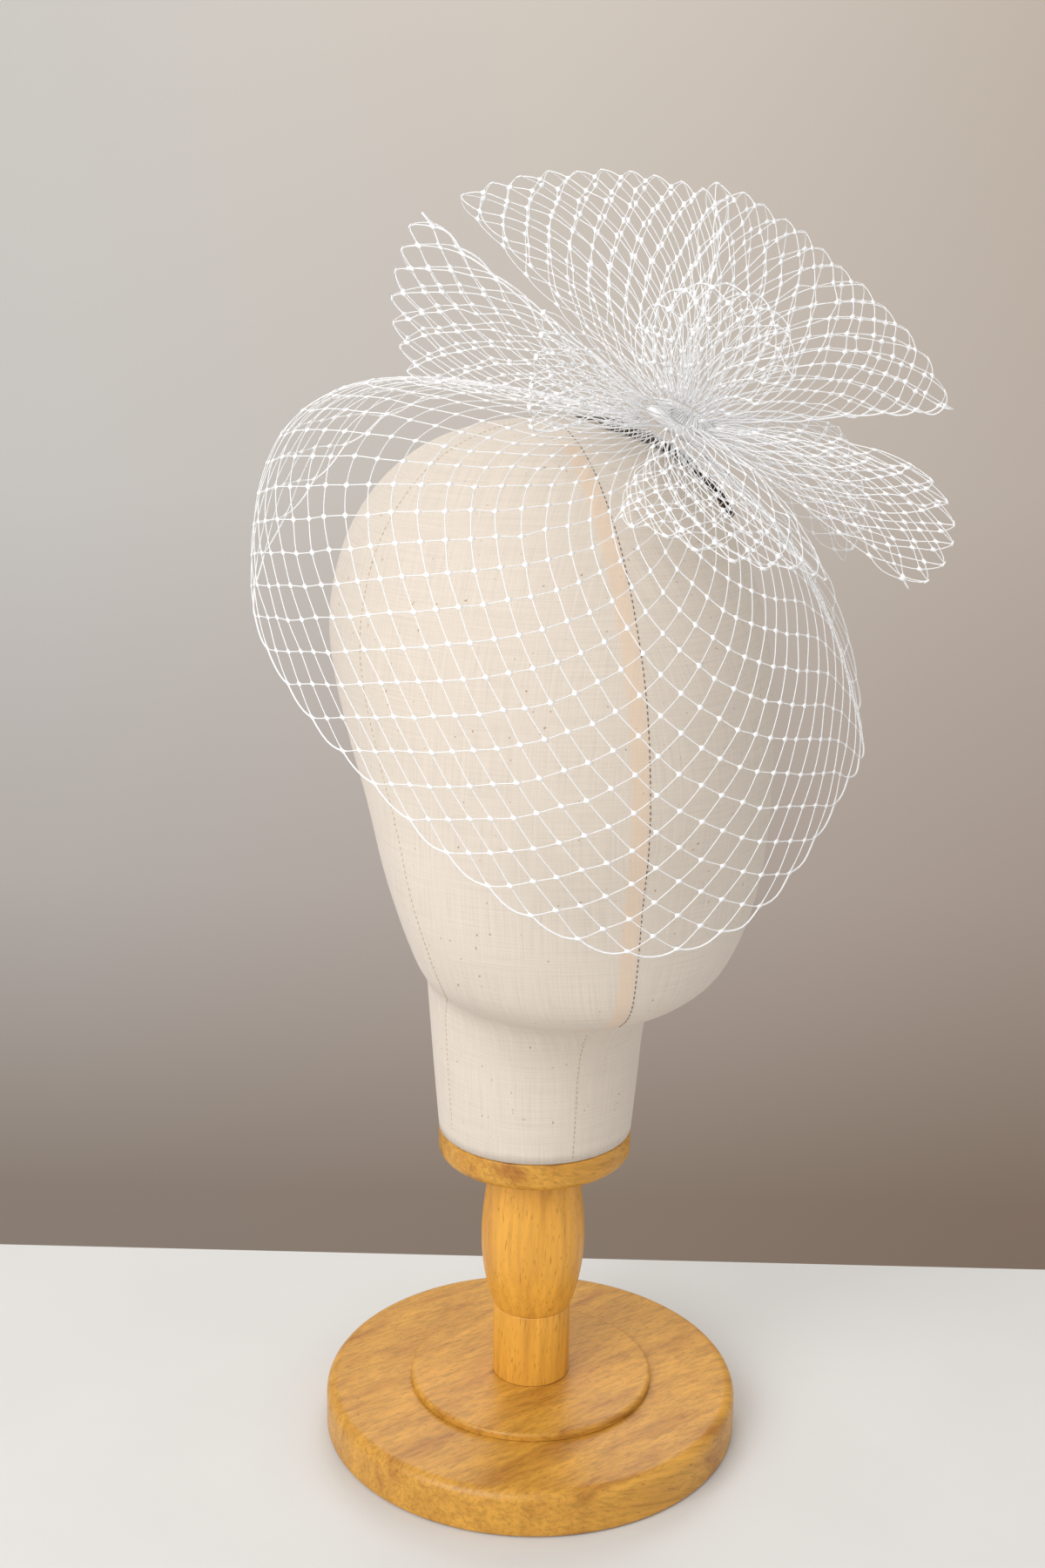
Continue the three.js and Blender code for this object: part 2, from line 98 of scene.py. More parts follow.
# Face net, a row for each station of its hem from behind the wearer's right, round the face, to
# behind the left. reach is how far a line of net runs level before it falls, as a share of the way
# out, lift its rise there, rise the height of its shoulder over the hem, and swell how far out that
# shoulder stands, as a share of the hem's distance from the axis.
HEM = table(
    "x y z reach lift rise swell",
    (-14, 24, 447, 0.5, 9, 6, 1.0),
    (-40, 34, 443, 0.55, 11, 12, 1.0),
    (-66, 33, 430, 0.60, 17, 32, 1.02),
    (-88, 34, 408, 0.62, 20, 57, 1.03),
    (-104, 28, 389, 0.61, 20, 78, 1.05),
    (-115, 12, 374, 0.60, 18, 91, 1.05),
    (-119, -8, 364, 0.59, 14, 99, 1.05),
    (-116, -30, 350, 0.58, 8, 107, 1.04),
    (-109, -52, 336, 0.6, -4, 115, 1.03),
    (-96, -78, 319, 0.57, -9, 116, 1.02),
    (-78, -102, 299, 0.52, -14, 115, 1.01),
    (-50, -122, 277, 0.48, -18, 112, 1.0),
    (-14, -132, 264, 0.43, -21, 106, 1.0),
    (26, -130, 271, 0.42, -22, 99, 0.99),
    (58, -118, 291, 0.38, -21, 88, 0.97),
    (82, -100, 307, 0.36, -15, 76, 0.95),
    (105, -75, 313, 0.35, -15, 66, 0.92),
    (122, -45, 315, 0.35, -15, 56, 0.88),
    (134, -22, 326, 0.35, -15, 40, 0.86),
    (136, -8, 346, 0.35, -14, 22, 0.85),
    (129, 4, 374, 0.34, -13, 4, 0.86),
    (112, 14, 396, 0.33, -11, -2, 0.88),
)
SKIRT_DROP = 6.6  # how far below the gather's waist the face net starts

# Pouf, a row for each loop of net. turn is the way it points, in degrees up from the wearer's left,
# lean its tilt forward, twist its turn about its own middle line, spread half its fan's angle,
# reach_a, reach_mid and reach_b its lengths from right to left, puff half its thickness, cup how far
# its sides bend forward, ripple and waves its waves across, and droop its sag. columns counts the
# half diamonds across the fan, and edge_a and edge_b say which of its sides are selvedges.
LOOP_COLUMNS = (
    "turn lean twist spread reach_a reach_mid reach_b puff cup ripple waves droop columns edge_a"
    " edge_b").split()
LOOPS = {name: dict(zip(LOOP_COLUMNS, row)) for name, *row in (
    ("loop_left_top", 157, 5, -4, 14.5, 127, 121, 106, 13, 3, 2, 1.5, -3, 15, 1, 0),
    ("loop_top", 108, -16, 4, 29, 84, 103, 122, 17, 5, 4, 2.2, -2, 22, 0, 0),
    ("loop_right_top", 45, -14, 8, 41, 112, 91, 92, 15, 6, 4, 2.4, 0, 25, 1, 0),
    ("loop_swirl", 74, 38, 6, 36, 52, 72, 52, 17, 4, 2, 1.2, 0, 17, 0, 0),
    ("loop_right_low", -10, 12, 10, 14, 100, 108, 92, 12, 3, 2, 1.6, 18, 14, 0, 0),
    ("loop_right_back", -11, -45, -14, 14, 118, 126, 112, 10, -3, 2, 1.7, 20, 14, 0, 0),
    ("loop_front_low", -34, 78, -72, 31, 82, 94, 82, 6, -5, 1.5, 2.6, 25, 17, 0, 0),
    ("loop_left_low", 152, 46, 20, 13, 98, 94, 84, 8, -3, 2, 1.4, 5.5, 12, 0, 1),
)}
LOOP_ROOT = 2.8  # half the distance between a loop's two ends at the gather
SEW_GAP = 2.4  # from the gather's surface to the net that starts there
LOOP_RUN = 10  # how far a loop's root leans towards its way out
PUFF_CURVE = 0.9  # under 1, a loop puffs up sooner
RIPPLE_START = 0.3  # where in its wave a ripple starts, in half waves
POUF_YAW = math.radians(22)


# ---------------------------------------------------------------- settings
class NettingSettings(bpy.types.PropertyGroup):
    """Sizes and colour of the diamond netting."""
    leg: FloatProperty(name="Leg", description="Thread length between two knots", default=11 * MM,
                       unit="LENGTH", precision=4)
    pouf_leg: FloatProperty(name="Pouf leg", description="Thread length between knots in the pouf",
                            default=8.4 * MM, unit="LENGTH", precision=4)
    thread: FloatProperty(name="Thread", description="Thickness of a thread", default=0.40 * MM,
                          unit="LENGTH", precision=5)
    selvedge: FloatProperty(name="Selvedge", description="Thickness of the selvedge cord",
                            default=0.75 * MM, unit="LENGTH", precision=5)
    knot: FloatProperty(name="Knot", description="Width of a knot, corner to corner",
                        default=3.1 * MM, unit="LENGTH", precision=4)
    colour: FloatVectorProperty(name="Colour", description="Colour of the net", size=3,
                                subtype="COLOR", default=(0.93, 0.93, 0.94))


class HeadSettings(bpy.types.PropertyGroup):
    """Fineness and colours of the linen head block."""
    sides: IntProperty(name="Sides", description="Points round the head", default=112, min=16)
    steps: IntProperty(name="Steps", description="Rings for each row of the head's table",
                       default=4, min=1)
    linen: FloatVectorProperty(name="Linen", description="Colour of the linen", size=3,
                               subtype="COLOR", default=(0.745, 0.66, 0.57))
    weave: FloatProperty(name="Weave", description="Distance between two threads of the linen",
                         default=0.55 * MM, unit="LENGTH", precision=5)
    stitch: FloatProperty(name="Stitch", description="Length of one seam stitch",
                          default=1.2 * MM, unit="LENGTH", precision=4)


class StandSettings(bpy.types.PropertyGroup):
    """Fineness and colours of the turned stand."""
    sides: IntProperty(name="Sides", description="Points round a turned piece", default=128, min=16)
    light: FloatVectorProperty(name="Light wood", description="Colour of the pale wood", size=3,
                               subtype="COLOR", default=(0.65, 0.32, 0.045))
    dark: FloatVectorProperty(name="Dark wood", description="Colour of the dark streaks", size=3,
                              subtype="COLOR", default=(0.40, 0.155, 0.02))


class StageSettings(bpy.types.PropertyGroup):
    """Camera, lamps, floor and backdrop."""
    eye: FloatVectorProperty(name="Eye", description="Place of the camera", size=3,
                             subtype="TRANSLATION", default=(-0.3101, -0.7476, 0.5183))
    lens: FloatProperty(name="Lens", description="Focal length in millimetres", default=47.28)
    yaw: FloatProperty(name="Yaw", description="Turn of the camera from straight ahead",
                       default=math.radians(-22), subtype="ANGLE")
    pitch: FloatProperty(name="Pitch", description="How far the camera looks down",
                         default=0.2734, subtype="ANGLE")
    roll: FloatProperty(name="Roll", description="Tilt of the camera about its line of sight",
                        default=0.0149, subtype="ANGLE")
    lamp: FloatProperty(name="Lamp", description="Power of the main lamp", default=33.0)


# ---------------------------------------------------------------- helpers
def smooth_at(columns, place):
    """A table's row at fractional places between its rows, on smooth curves through them all."""
    last = len(next(iter(columns.values()))) - 1
    low = np.clip(np.floor(place).astype(int), 0, last - 1)
    f = place - low
    a, b, c, d = (np.clip(low + k, 0, last) for k in (-1, 0, 1, 2))
    out = {}
    for name, values in columns.items():
        start = (values[c] - values[a]) / 2
        end = (values[d] - values[b]) / 2
        cube = 2 * (values[b] - values[c]) + start + end
        square = 3 * (values[c] - values[b]) - 2 * start - end
        out[name] = values[b] + start * f + square * f ** 2 + cube * f ** 3
    return out


def unit(vectors):
    return vectors / np.maximum(np.linalg.norm(vectors, axis=-1, keepdims=True), 1e-12)


def finish_piece(bm, name):
    """The bmesh as a new object with smooth faces, riding on the part's body."""
    mesh = bpy.data.meshes.new(name)
    bm.to_mesh(mesh)
    bm.free()
    piece = bpy.data.objects.new(name, mesh)
    bpy.context.scene.collection.objects.link(piece)
    for face in mesh.polygons:
        face.use_smooth = True
    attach(piece, BODY)
    return piece


def node_tree_of(name):
    """A new material and a function that adds a node to it, with settings and inputs."""
    material = bpy.data.materials.new(name)
    material.use_nodes = True
    tree = material.node_tree
    tree.nodes.clear()

    def add(kind, inputs=None, **settings):
        node = tree.nodes.new(kind)
        for key, value in settings.items():
            setattr(node, key, value)
        for key, value in (inputs or {}).items():
            if isinstance(value, bpy.types.NodeSocket):
                tree.links.new(value, node.inputs[key])
            else:
                node.inputs[key].default_value = value
        return node

    return material, add


def ramp(add, factor, *stops):
    """A colour ramp with (place, colour) stops."""
    node = add("ShaderNodeValToRGB", {"Fac": factor})
    elements = node.color_ramp.elements
    while len(elements) < len(stops):
        elements.new(0.5)
    for element, (place, colour) in zip(elements, stops):
        element.position = place
        element.color = (*colour[:3], 1)
    return node.outputs["Color"]


def mix(add, factor, a, b, blend="MIX"):
    node = add("ShaderNodeMix", data_type="RGBA", blend_type=blend)
    tree = node.id_data
    for socket, value in ((node.inputs["Factor"], factor), (node.inputs["A"], a),
                          (node.inputs["B"], b)):
        target = [s for s in node.inputs if s.name == socket.name and s.enabled][0]
        if isinstance(value, bpy.types.NodeSocket):
            tree.links.new(value, target)
        else:
            target.default_value = (*value, 1) if hasattr(value, "__len__") else value
    return [s for s in node.outputs if s.enabled][0]


def grey(value):
    return (value, value, value)


# ---------------------------------------------------------------- materials
def net_material(settings):
    material, add = node_tree_of("net_thread")
    where = add("ShaderNodeTexCoord").outputs["Object"]
    fibre = add("ShaderNodeTexNoise", {"Vector": where, "Scale": 900.0, "Detail": 3.0})
    tone = ramp(add, fibre.outputs["Fac"], (0.3, [c * 0.9 for c in settings.colour]),
                (0.7, settings.colour))
    bump = add("ShaderNodeBump", {"Height": fibre.outputs["Fac"], "Strength": 0.25,
                                  "Distance": 0.0002})
    shader = add("ShaderNodeBsdfPrincipled", {
        "Base Color": tone, "Roughness": 0.42, "Normal": bump.outputs["Normal"],
        "Sheen Weight": 0.25, "Specular IOR Level": 0.5})
    add("ShaderNodeOutputMaterial", {"Surface": shader.outputs["BSDF"]})
    return material


def linen_material(settings):
    """Plain-weave linen: threads both ways, uneven in tone, with slubs and dark flecks."""
    material, add = node_tree_of("linen_canvas")
    uv = add("ShaderNodeUVMap", uv_map="cloth").outputs["UV"]
    where = add("ShaderNodeTexCoord").outputs["Object"]
    split = add("ShaderNodeSeparateXYZ", {"Vector": uv})
    wobble = add("ShaderNodeTexNoise", {"Vector": where, "Scale": 60.0, "Detail": 2.0})
    threads = []
    for axis in ("X", "Y"):
        shifted = add("ShaderNodeMath", {0: wobble.outputs["Fac"], 1: 0.0012,
                                         2: split.outputs[axis]}, operation="MULTIPLY_ADD")
        turns = add("ShaderNodeMath", {0: shifted.outputs[0], 1: math.tau / settings.weave},
                    operation="MULTIPLY")
        wave = add("ShaderNodeMath", {0: turns.outputs[0]}, operation="SINE")
        threads.append(wave.outputs[0])
    weave = add("ShaderNodeMath", {0: threads[0], 1: threads[1]}, operation="MULTIPLY")
    height = add("ShaderNodeMath", {0: weave.outputs[0], 1: 0.5, 2: 0.5}, operation="MULTIPLY_ADD")
    slub_tones = []
    for scale in ((28.0, 1700.0, 1.0), (1700.0, 28.0, 1.0)):
        stretched = add("ShaderNodeVectorMath", {0: uv, 1: scale}, operation="MULTIPLY")
        slub = add("ShaderNodeTexNoise", {"Vector": stretched.outputs[0], "Scale": 1.0,
                                          "Detail": 2.0, "Roughness": 0.6})
        slub_tones.append(slub.outputs["Fac"])
    yarn = add("ShaderNodeMath", {0: slub_tones[0], 1: slub_tones[1]}, operation="ADD")
    base = tuple(settings.linen)
    tone = ramp(add, add("ShaderNodeMath", {0: yarn.outputs[0], 1: 0.5},
                         operation="MULTIPLY").outputs[0],
                (0.32, [c * 0.88 for c in base]), (0.5, base),
                (0.68, [min(1, c * 1.08) for c in base]))
    gaps = ramp(add, height.outputs[0], (0.0, grey(0.70)), (0.45, grey(0.96)), (1.0, grey(1.03)))
    woven = mix(add, 1.0, tone, gaps, "MULTIPLY")
    fleck = add("ShaderNodeTexNoise", {"Vector": where, "Scale": 520.0, "Detail": 1.0})
    flecks = ramp(add, fleck.outputs["Fac"], (0.75, grey(0.0)), (0.79, grey(0.8)))
    spotted = mix(add, flecks, woven, (0.33, 0.20, 0.11))
    place = add("ShaderNodeSeparateXYZ", {"Vector": where})
    beside = add("ShaderNodeMapRange", {"Value": place.outputs["X"], "From Min": -0.010,
                                        "From Max": 0.010})
    strip = ramp(add, beside.outputs["Result"], (0.10, grey(0.0)), (0.17, grey(1.0)),
                 (0.45, grey(1.0)), (0.49, grey(0.0)))
    ahead = add("ShaderNodeMath", {0: place.outputs["Y"], 1: -0.03}, operation="LESS_THAN")
    high = add("ShaderNodeMath", {0: place.outputs["Z"], 1: 0.205}, operation="GREATER_THAN")
    faint = add("ShaderNodeMath", {0: high.outputs[0], 1: 0.34, 2: 0.06},
                operation="MULTIPLY_ADD")
    share = add("ShaderNodeMath", {0: ahead.outputs[0], 1: faint.outputs[0]},
                operation="MULTIPLY")
    faded = add("ShaderNodeMath", {0: strip, 1: share.outputs[0]}, operation="MULTIPLY")
    peach = mix(add, faded.outputs[0], spotted, (0.80, 0.55, 0.36))
    bump = add("ShaderNodeBump", {"Height": height.outputs[0], "Strength": 0.45,
                                  "Distance": 0.00025})
    slub_bump = add("ShaderNodeBump", {"Height": yarn.outputs[0], "Strength": 0.2,
                                       "Distance": 0.0003, "Normal": bump.outputs["Normal"]})
    shader = add("ShaderNodeBsdfPrincipled", {
        "Base Color": peach, "Roughness": 0.88, "Normal": slub_bump.outputs["Normal"],
        "Sheen Weight": 0.2, "Specular IOR Level": 0.25})
    add("ShaderNodeOutputMaterial", {"Surface": shader.outputs["BSDF"]})
    return material


def wood_material(name, settings, grain, shade=1.0, streak=0.8):
    """Varnished wood whose grain runs along a direction."""
    material, add = node_tree_of(name)
    where = add("ShaderNodeTexCoord").outputs["Object"]
    along = Vector(grain).normalized()
    turn = along.to_track_quat("X", "Z").inverted().to_euler()
    lined = add("ShaderNodeMapping", {"Vector": where, "Rotation": turn})
    long_wave = add("ShaderNodeMapping", {"Vector": lined.outputs["Vector"],
                                          "Scale": (6.0, 105.0, 105.0)})
    figure = add("ShaderNodeTexNoise", {"Vector": long_wave.outputs["Vector"], "Scale": 1.0,
                                        "Detail": 5.0, "Roughness": 0.55, "Distortion": 0.5})
    fine_wave = add("ShaderNodeMapping", {"Vector": lined.outputs["Vector"],
                                          "Scale": (35.0, 620.0, 620.0)})
    fibre = add("ShaderNodeTexNoise", {"Vector": fine_wave.outputs["Vector"], "Scale": 1.0,
                                       "Detail": 3.0, "Roughness": 0.6})
    pore_wave = add("ShaderNodeMapping", {"Vector": lined.outputs["Vector"],
                                          "Scale": (190.0, 1900.0, 1900.0)})
    pore = add("ShaderNodeTexNoise", {"Vector": pore_wave.outputs["Vector"], "Scale": 1.0,
                                      "Detail": 0.0})
    light = [c * shade for c in settings.light]
    dark = [c * shade for c in settings.dark]
    middle = [(a * 0.72 + b * 0.28) for a, b in zip(light, dark)]
    body = ramp(add, figure.outputs["Fac"], (0.26, dark), (0.42, middle), (0.55, light),
                (0.72, [min(1, c * 1.15) for c in light]))
    streaks = ramp(add, fibre.outputs["Fac"], (0.36, grey(0.70)), (0.56, grey(1.0)))
    streaked = mix(add, streak, body, streaks, "MULTIPLY")
    pores = ramp(add, pore.outputs["Fac"], (0.70, grey(0.0)), (0.80, grey(0.55)))
    coloured = mix(add, pores, streaked, [c * 0.55 for c in dark])
    bump = add("ShaderNodeBump", {"Height": fibre.outputs["Fac"], "Strength": 0.08,
                                  "Distance": 0.0004})
    shader = add("ShaderNodeBsdfPrincipled", {
        "Base Color": coloured, "Roughness": 0.42, "Specular IOR Level": 0.35,
        "Normal": bump.outputs["Normal"],
        "Coat Weight": 0.12, "Coat Roughness": 0.25})
    add("ShaderNodeOutputMaterial", {"Surface": shader.outputs["BSDF"]})
    return material


def plain_material(name, colour, roughness, grain=0.0, scale=300.0):
    """One colour with a little mottle, for threads, lacquer, floor and backdrop."""
    material, add = node_tree_of(name)
    where = add("ShaderNodeTexCoord").outputs["Object"]
    mottle = add("ShaderNodeTexNoise", {"Vector": where, "Scale": scale, "Detail": 4.0})
    tone = ramp(add, mottle.outputs["Fac"], (0.35, [c * (1 - grain) for c in colour]),
                (0.65, colour))
    shader = add("ShaderNodeBsdfPrincipled", {"Base Color": tone, "Roughness": roughness})
    add("ShaderNodeOutputMaterial", {"Surface": shader.outputs["BSDF"]})
    return material


# ---------------------------------------------------------------- threads
def thread_nodes(name, material, sides, knot=None, capped=False):
    """Geometry nodes that turn edges into round threads, and put a knot at each marked point.

    Edges read "half_thick", and marked points read "knot_turn" and "knot_size".
    """
    group = bpy.data.node_groups.new(name, "GeometryNodeTree")
    group.interface.new_socket("Geometry", in_out="INPUT", socket_type="NodeSocketGeometry")
    group.interface.new_socket("Geometry", in_out="OUTPUT", socket_type="NodeSocketGeometry")

    def add(kind, **settings):
        node = group.nodes.new(kind)
        for key, value in settings.items():
            setattr(node, key, value)
        return node

    def read(attribute, kind):
        node = add("GeometryNodeInputNamedAttribute", data_type=kind)
        node.inputs["Name"].default_value = attribute
        return node.outputs["Attribute"]

    link = group.links.new
    source = add("NodeGroupInput").outputs[0]
    curve = add("GeometryNodeMeshToCurve")
    link(source, curve.inputs["Mesh"])
    profile = add("GeometryNodeCurvePrimitiveCircle")
    profile.inputs["Resolution"].default_value = sides
    profile.inputs["Radius"].default_value = 1.0
    tube = add("GeometryNodeCurveToMesh")
    link(curve.outputs["Curve"], tube.inputs["Curve"])
    link(read("half_thick", "FLOAT"), tube.inputs["Scale"])
    link(profile.outputs["Curve"], tube.inputs["Profile Curve"])
    tube.inputs["Fill Caps"].default_value = capped
    join = add("GeometryNodeJoinGeometry")
    link(tube.outputs["Mesh"], join.inputs["Geometry"])
    if knot:
        points = add("GeometryNodeInstanceOnPoints")
        link(source, points.inputs["Points"])
        link(read("is_knot", "BOOLEAN"), points.inputs["Selection"])
        shape = add("GeometryNodeObjectInfo")
        shape.inputs["Object"].default_value = knot
        link(shape.outputs["Geometry"], points.inputs["Instance"])
        turn = add("FunctionNodeEulerToRotation")
        link(read("knot_turn", "FLOAT_VECTOR"), turn.inputs["Euler"])
        link(turn.outputs["Rotation"], points.inputs["Rotation"])
        link(read("knot_size", "FLOAT_VECTOR"), points.inputs["Scale"])
        real = add("GeometryNodeRealizeInstances")
        link(points.outputs["Instances"], real.inputs["Geometry"])
        link(real.outputs["Geometry"], join.inputs["Geometry"])
    smooth = add("GeometryNodeSetShadeSmooth")
    link(join.outputs["Geometry"], smooth.inputs["Geometry"])
    paint = add("GeometryNodeSetMaterial")
    paint.inputs["Material"].default_value = material
    link(smooth.outputs["Geometry"], paint.inputs["Geometry"])
    link(paint.outputs["Geometry"], add("NodeGroupOutput").inputs[0])
    return group


KNOT_WAIST = 0.62  # how far the sides between a knot's corners stand out, as a share of theirs
KNOT_HALF_THICK = 0.045  # half the thickness of a knot's rim, as a share of its width
KNOT_RISE = 0.09  # how far its middle stands over its rim


def knot_shape():
    """One knot, a unit wide from corner to corner: a thin cushion with four drawn-out corners."""
    bm = bmesh.new()
    bmesh.ops.create_circle(bm, cap_ends=True, radius=0.5, segments=8,
                            matrix=Matrix.Rotation(math.radians(45), 4, "Z"))
    for i, vert in enumerate(bm.verts):
        if i % 2:
            vert.co *= KNOT_WAIST
    rim = bmesh.ops.extrude_face_region(bm, geom=bm.faces[:])
    raised = [v for v in rim["geom"] if isinstance(v, bmesh.types.BMVert)]
    bmesh.ops.translate(bm, verts=bm.verts, vec=(0, 0, -KNOT_HALF_THICK))
    bmesh.ops.translate(bm, verts=raised, vec=(0, 0, 2 * KNOT_HALF_THICK))
    caps = [f for f in bm.faces if len(f.verts) == 8]
    bmesh.ops.poke(bm, faces=caps, offset=KNOT_RISE)
    bmesh.ops.recalc_face_normals(bm, faces=bm.faces)
    mesh = bpy.data.meshes.new("knot_shape")
    bm.to_mesh(mesh)
    bm.free()
    return bpy.data.objects.new("knot_shape", mesh)


def threads_piece(name, paths, half_thick, group, material, knots=None):
    """A piece of threads. paths are runs of points, and knots gives the points that carry a knot
    as {point key: (turn, size)}; a path's point may be shared by giving it as a key."""
    bm = bmesh.new()
    shared = {}
    thick, marks = [], []

    def point(value, radius):
        key, place = value
        if key is not None and key in shared:
            vert = shared[key]
            thick[vert.index] = max(thick[vert.index], radius)
            return vert
        vert = bm.verts.new(place)
        vert.index = len(thick)
        thick.append(radius)
        marks.append(key)
        if key is not None:
            shared[key] = vert
        return vert

    for path, radius in zip(paths, half_thick):
        verts = [point(value, radius) for value in path]
        for a, b in zip(verts, verts[1:]):
            if bm.edges.get((a, b)) is None:
                bm.edges.new((a, b))
    piece = finish_piece(bm, name)
    mesh = piece.data
    mesh.attributes.new("half_thick", "FLOAT", "POINT").data.foreach_set("value", thick)
    if knots is not None:
        is_knot = [key in knots for key in marks]
        turns = [knots[key][0] if key in knots else (0, 0, 0) for key in marks]
        sizes = [knots[key][1] if key in knots else (1, 1, 1) for key in marks]
        mesh.attributes.new("is_knot", "BOOLEAN", "POINT").data.foreach_set("value", is_knot)
        for label, values in (("knot_turn", turns), ("knot_size", sizes)):
            attribute = mesh.attributes.new(label, "FLOAT_VECTOR", "POINT")
            attribute.data.foreach_set("vector", np.array(values, float).ravel())
    mesh.materials.append(material)
    modifier = piece.modifiers.new("Threads", "NODES")
    modifier.node_group = group
    return piece


# ---------------------------------------------------------------- shapes of the net
def gather_frame():
    """The gather's middle, its three axes and their half lengths, in millimetres."""
    low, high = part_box("gather")
    centre = np.array((low + high) / 2) / MM
    points = np.array([v.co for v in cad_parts["gather"].data.vertices]) / MM - centre
    _, _, axes = np.linalg.svd(points, full_matrices=False)
    along = axes[0] * np.sign(axes[0][0])
    up = axes[2] * np.sign(axes[2][2])
    across = np.cross(up, along)
    half = [np.abs(points @ axis).max() for axis in (along, across, up)]
    return centre, (along, across, up), half


GATHER, GATHER_AXES, GATHER_HALF = gather_frame()
GATHER_UP = GATHER_AXES[2]


def on_gather(direction, swell=SEW_GAP):
    """Places on the gather's surface in directions from its middle, swollen by a distance."""
    parts = [(direction @ axis / (half + swell)) ** 2
             for axis, half in zip(GATHER_AXES, GATHER_HALF)]
    return GATHER + direction / np.sqrt(sum(parts))[..., None]


def veil_points(u, v):
    """Places on the face net: u runs along the hem, v from the gather to the hem."""
    u, v = np.broadcast_arrays(u, v)
    row = smooth_at(HEM, u * (len(HEM["x"]) - 1))
    hem = np.stack((row["x"], row["y"], row["z"]), -1)
    level = (hem - GATHER) * (1, 1, 0)
    skirt = unit(level - (level @ GATHER_UP)[..., None] * GATHER_UP)
    waist = on_gather(skirt) - SKIRT_DROP * GATHER_UP
    start = on_gather(unit(waist - GATHER))
    up = np.array((0, 0, 1.0))
    first = start + level * row["reach"][..., None] + row["lift"][..., None] * up
    swell = row["swell"][..., None]
    shoulder = hem * (1, 1, 0) * swell + (row["z"] + row["rise"])[..., None] * up
    v = v[..., None]
    return (start * (1 - v) ** 3 + 3 * first * v * (1 - v) ** 2
            + 3 * shoulder * v ** 2 * (1 - v) + hem * v ** 3)


def loop_points(loop, u, v):
    """Places on a loop: u runs out from the gather, over its fold and back, v across its fan."""
    u, v = np.broadcast_arrays(u, v)
    right = np.array((math.cos(POUF_YAW), -math.sin(POUF_YAW), 0))
    front = np.array((-math.sin(POUF_YAW), -math.cos(POUF_YAW), 0))
    up = np.array((0, 0, 1.0))
    turn, lean = math.radians(loop["turn"]), math.radians(loop["lean"])
    middle = (right * math.cos(turn) + up * math.sin(turn)) * math.cos(lean) + front * math.sin(lean)
    facing = unit(front - (front @ middle) * middle)
    spin = Matrix.Rotation(math.radians(loop["twist"]), 3, Vector(middle))
    thick = np.array(spin @ Vector(facing))
    fan = np.cross(thick, middle)
    side = 2 * v - 1
    angle = (side * math.radians(loop["spread"]))[..., None]
    way = middle * np.cos(angle) + fan * np.sin(angle)
    reach = (loop["reach_mid"] + side * (loop["reach_b"] - loop["reach_a"]) / 2
             + side ** 2 * ((loop["reach_a"] + loop["reach_b"]) / 2 - loop["reach_mid"]))
    out, half = np.sin(np.pi * u), np.cos(np.pi * u)
    offset = half * (LOOP_ROOT + (loop["puff"] - LOOP_ROOT) * np.maximum(out, 0) ** PUFF_CURVE)
    root = on_gather(unit(way * LOOP_RUN + thick * (half * LOOP_ROOT)[..., None]))
    root_out = ((root - GATHER) * way).sum(-1)
    radial = root_out + (reach - root_out) * out
    share = (radial / reach) ** 2
    ripple = loop["ripple"] * np.sin(np.pi * (loop["waves"] * v + RIPPLE_START))
    bend = (loop["cup"] * side ** 2 + ripple) * share
    return (GATHER + way * radial[..., None] + thick * (offset + bend)[..., None]
            - up * (loop["droop"] * share)[..., None])


# ---------------------------------------------------------------- netting
FINE = 240  # points along a line of net when its length is measured
SHORTEST = 0.22  # a row's least depth, as a share of a leg
EDGE_DEPTH = 0.38  # how far a selvedge's corners stand out, as a share of a half diamond
MOST_ROWS = 80  # where a march stops if its lines haven't ended
SMOOTHING = 3  # lines on each side that a line's row depth is averaged with
LEG_STEPS = 3  # straight stretches in a leg
FACE_JITTER = 0.22  # spread of the face net's knots about their places
POUF_JITTER = 0.45  # and of the pouf's
CROWDED = 7.5  # knots closer together than this are drawn smaller
ALONE = 9.0  # the distance taken for a knot with no neighbour in its row
SMALLEST_KNOT = 0.45  # the least size of a crowded knot, as a share of a full one
NARROWEST_KNOT = 0.5  # the least width of a knot that is pulled to one side


class NetLines:
    """Lines of net laid on a surface, and places on them by distance from the start."""

    def __init__(self, surface, u_lines, v_from, v_to):
        steps = np.linspace(v_from, v_to, FINE)
        self.points = surface(u_lines[:, None], steps[None, :])
        gaps = np.linalg.norm(np.diff(self.points, axis=1), axis=2)
        self.far = np.concatenate((np.zeros((len(u_lines), 1)), np.cumsum(gaps, axis=1)), axis=1)
        self.length = self.far[:, -1]

    def at(self, distances):
        found = np.zeros((len(distances), 3))
        for i, d in enumerate(distances):
            for k in range(3):
                found[i, k] = np.interp(d, self.far[i], self.points[i, :, k])
        return found


def march(lines, start, leg, first=1.0):
    """Distances of each row of knots along each line, from start until every line has ended.

    A row is shallow where the lines are far apart and deep where they run close together, which
    keeps legs near their length only on average: SHORTEST, the smoothing and the jitter change
    single ones a lot. first is the depth of the first row as a share of the others'.
    """
    rows = [start]
    while (rows[-1] < lines.length).any() and len(rows) < MOST_ROWS:
        places = lines.at(np.minimum(rows[-1], lines.length))
        apart = np.linalg.norm(places[2:] - places[:-2], axis=1) / 2
        apart = np.concatenate((apart[:1], apart, apart[-1:]))
        deep = np.sqrt(np.maximum(leg ** 2 - apart ** 2, (SHORTEST * leg) ** 2))
        padded = np.pad(deep, SMOOTHING, mode="edge")
        window = 2 * SMOOTHING + 1
        deep = np.convolve(padded, np.ones(window) / window, mode="valid")
        if len(rows) == 1:
            deep *= first
        rows.append(rows[-1] + deep)
    return rows


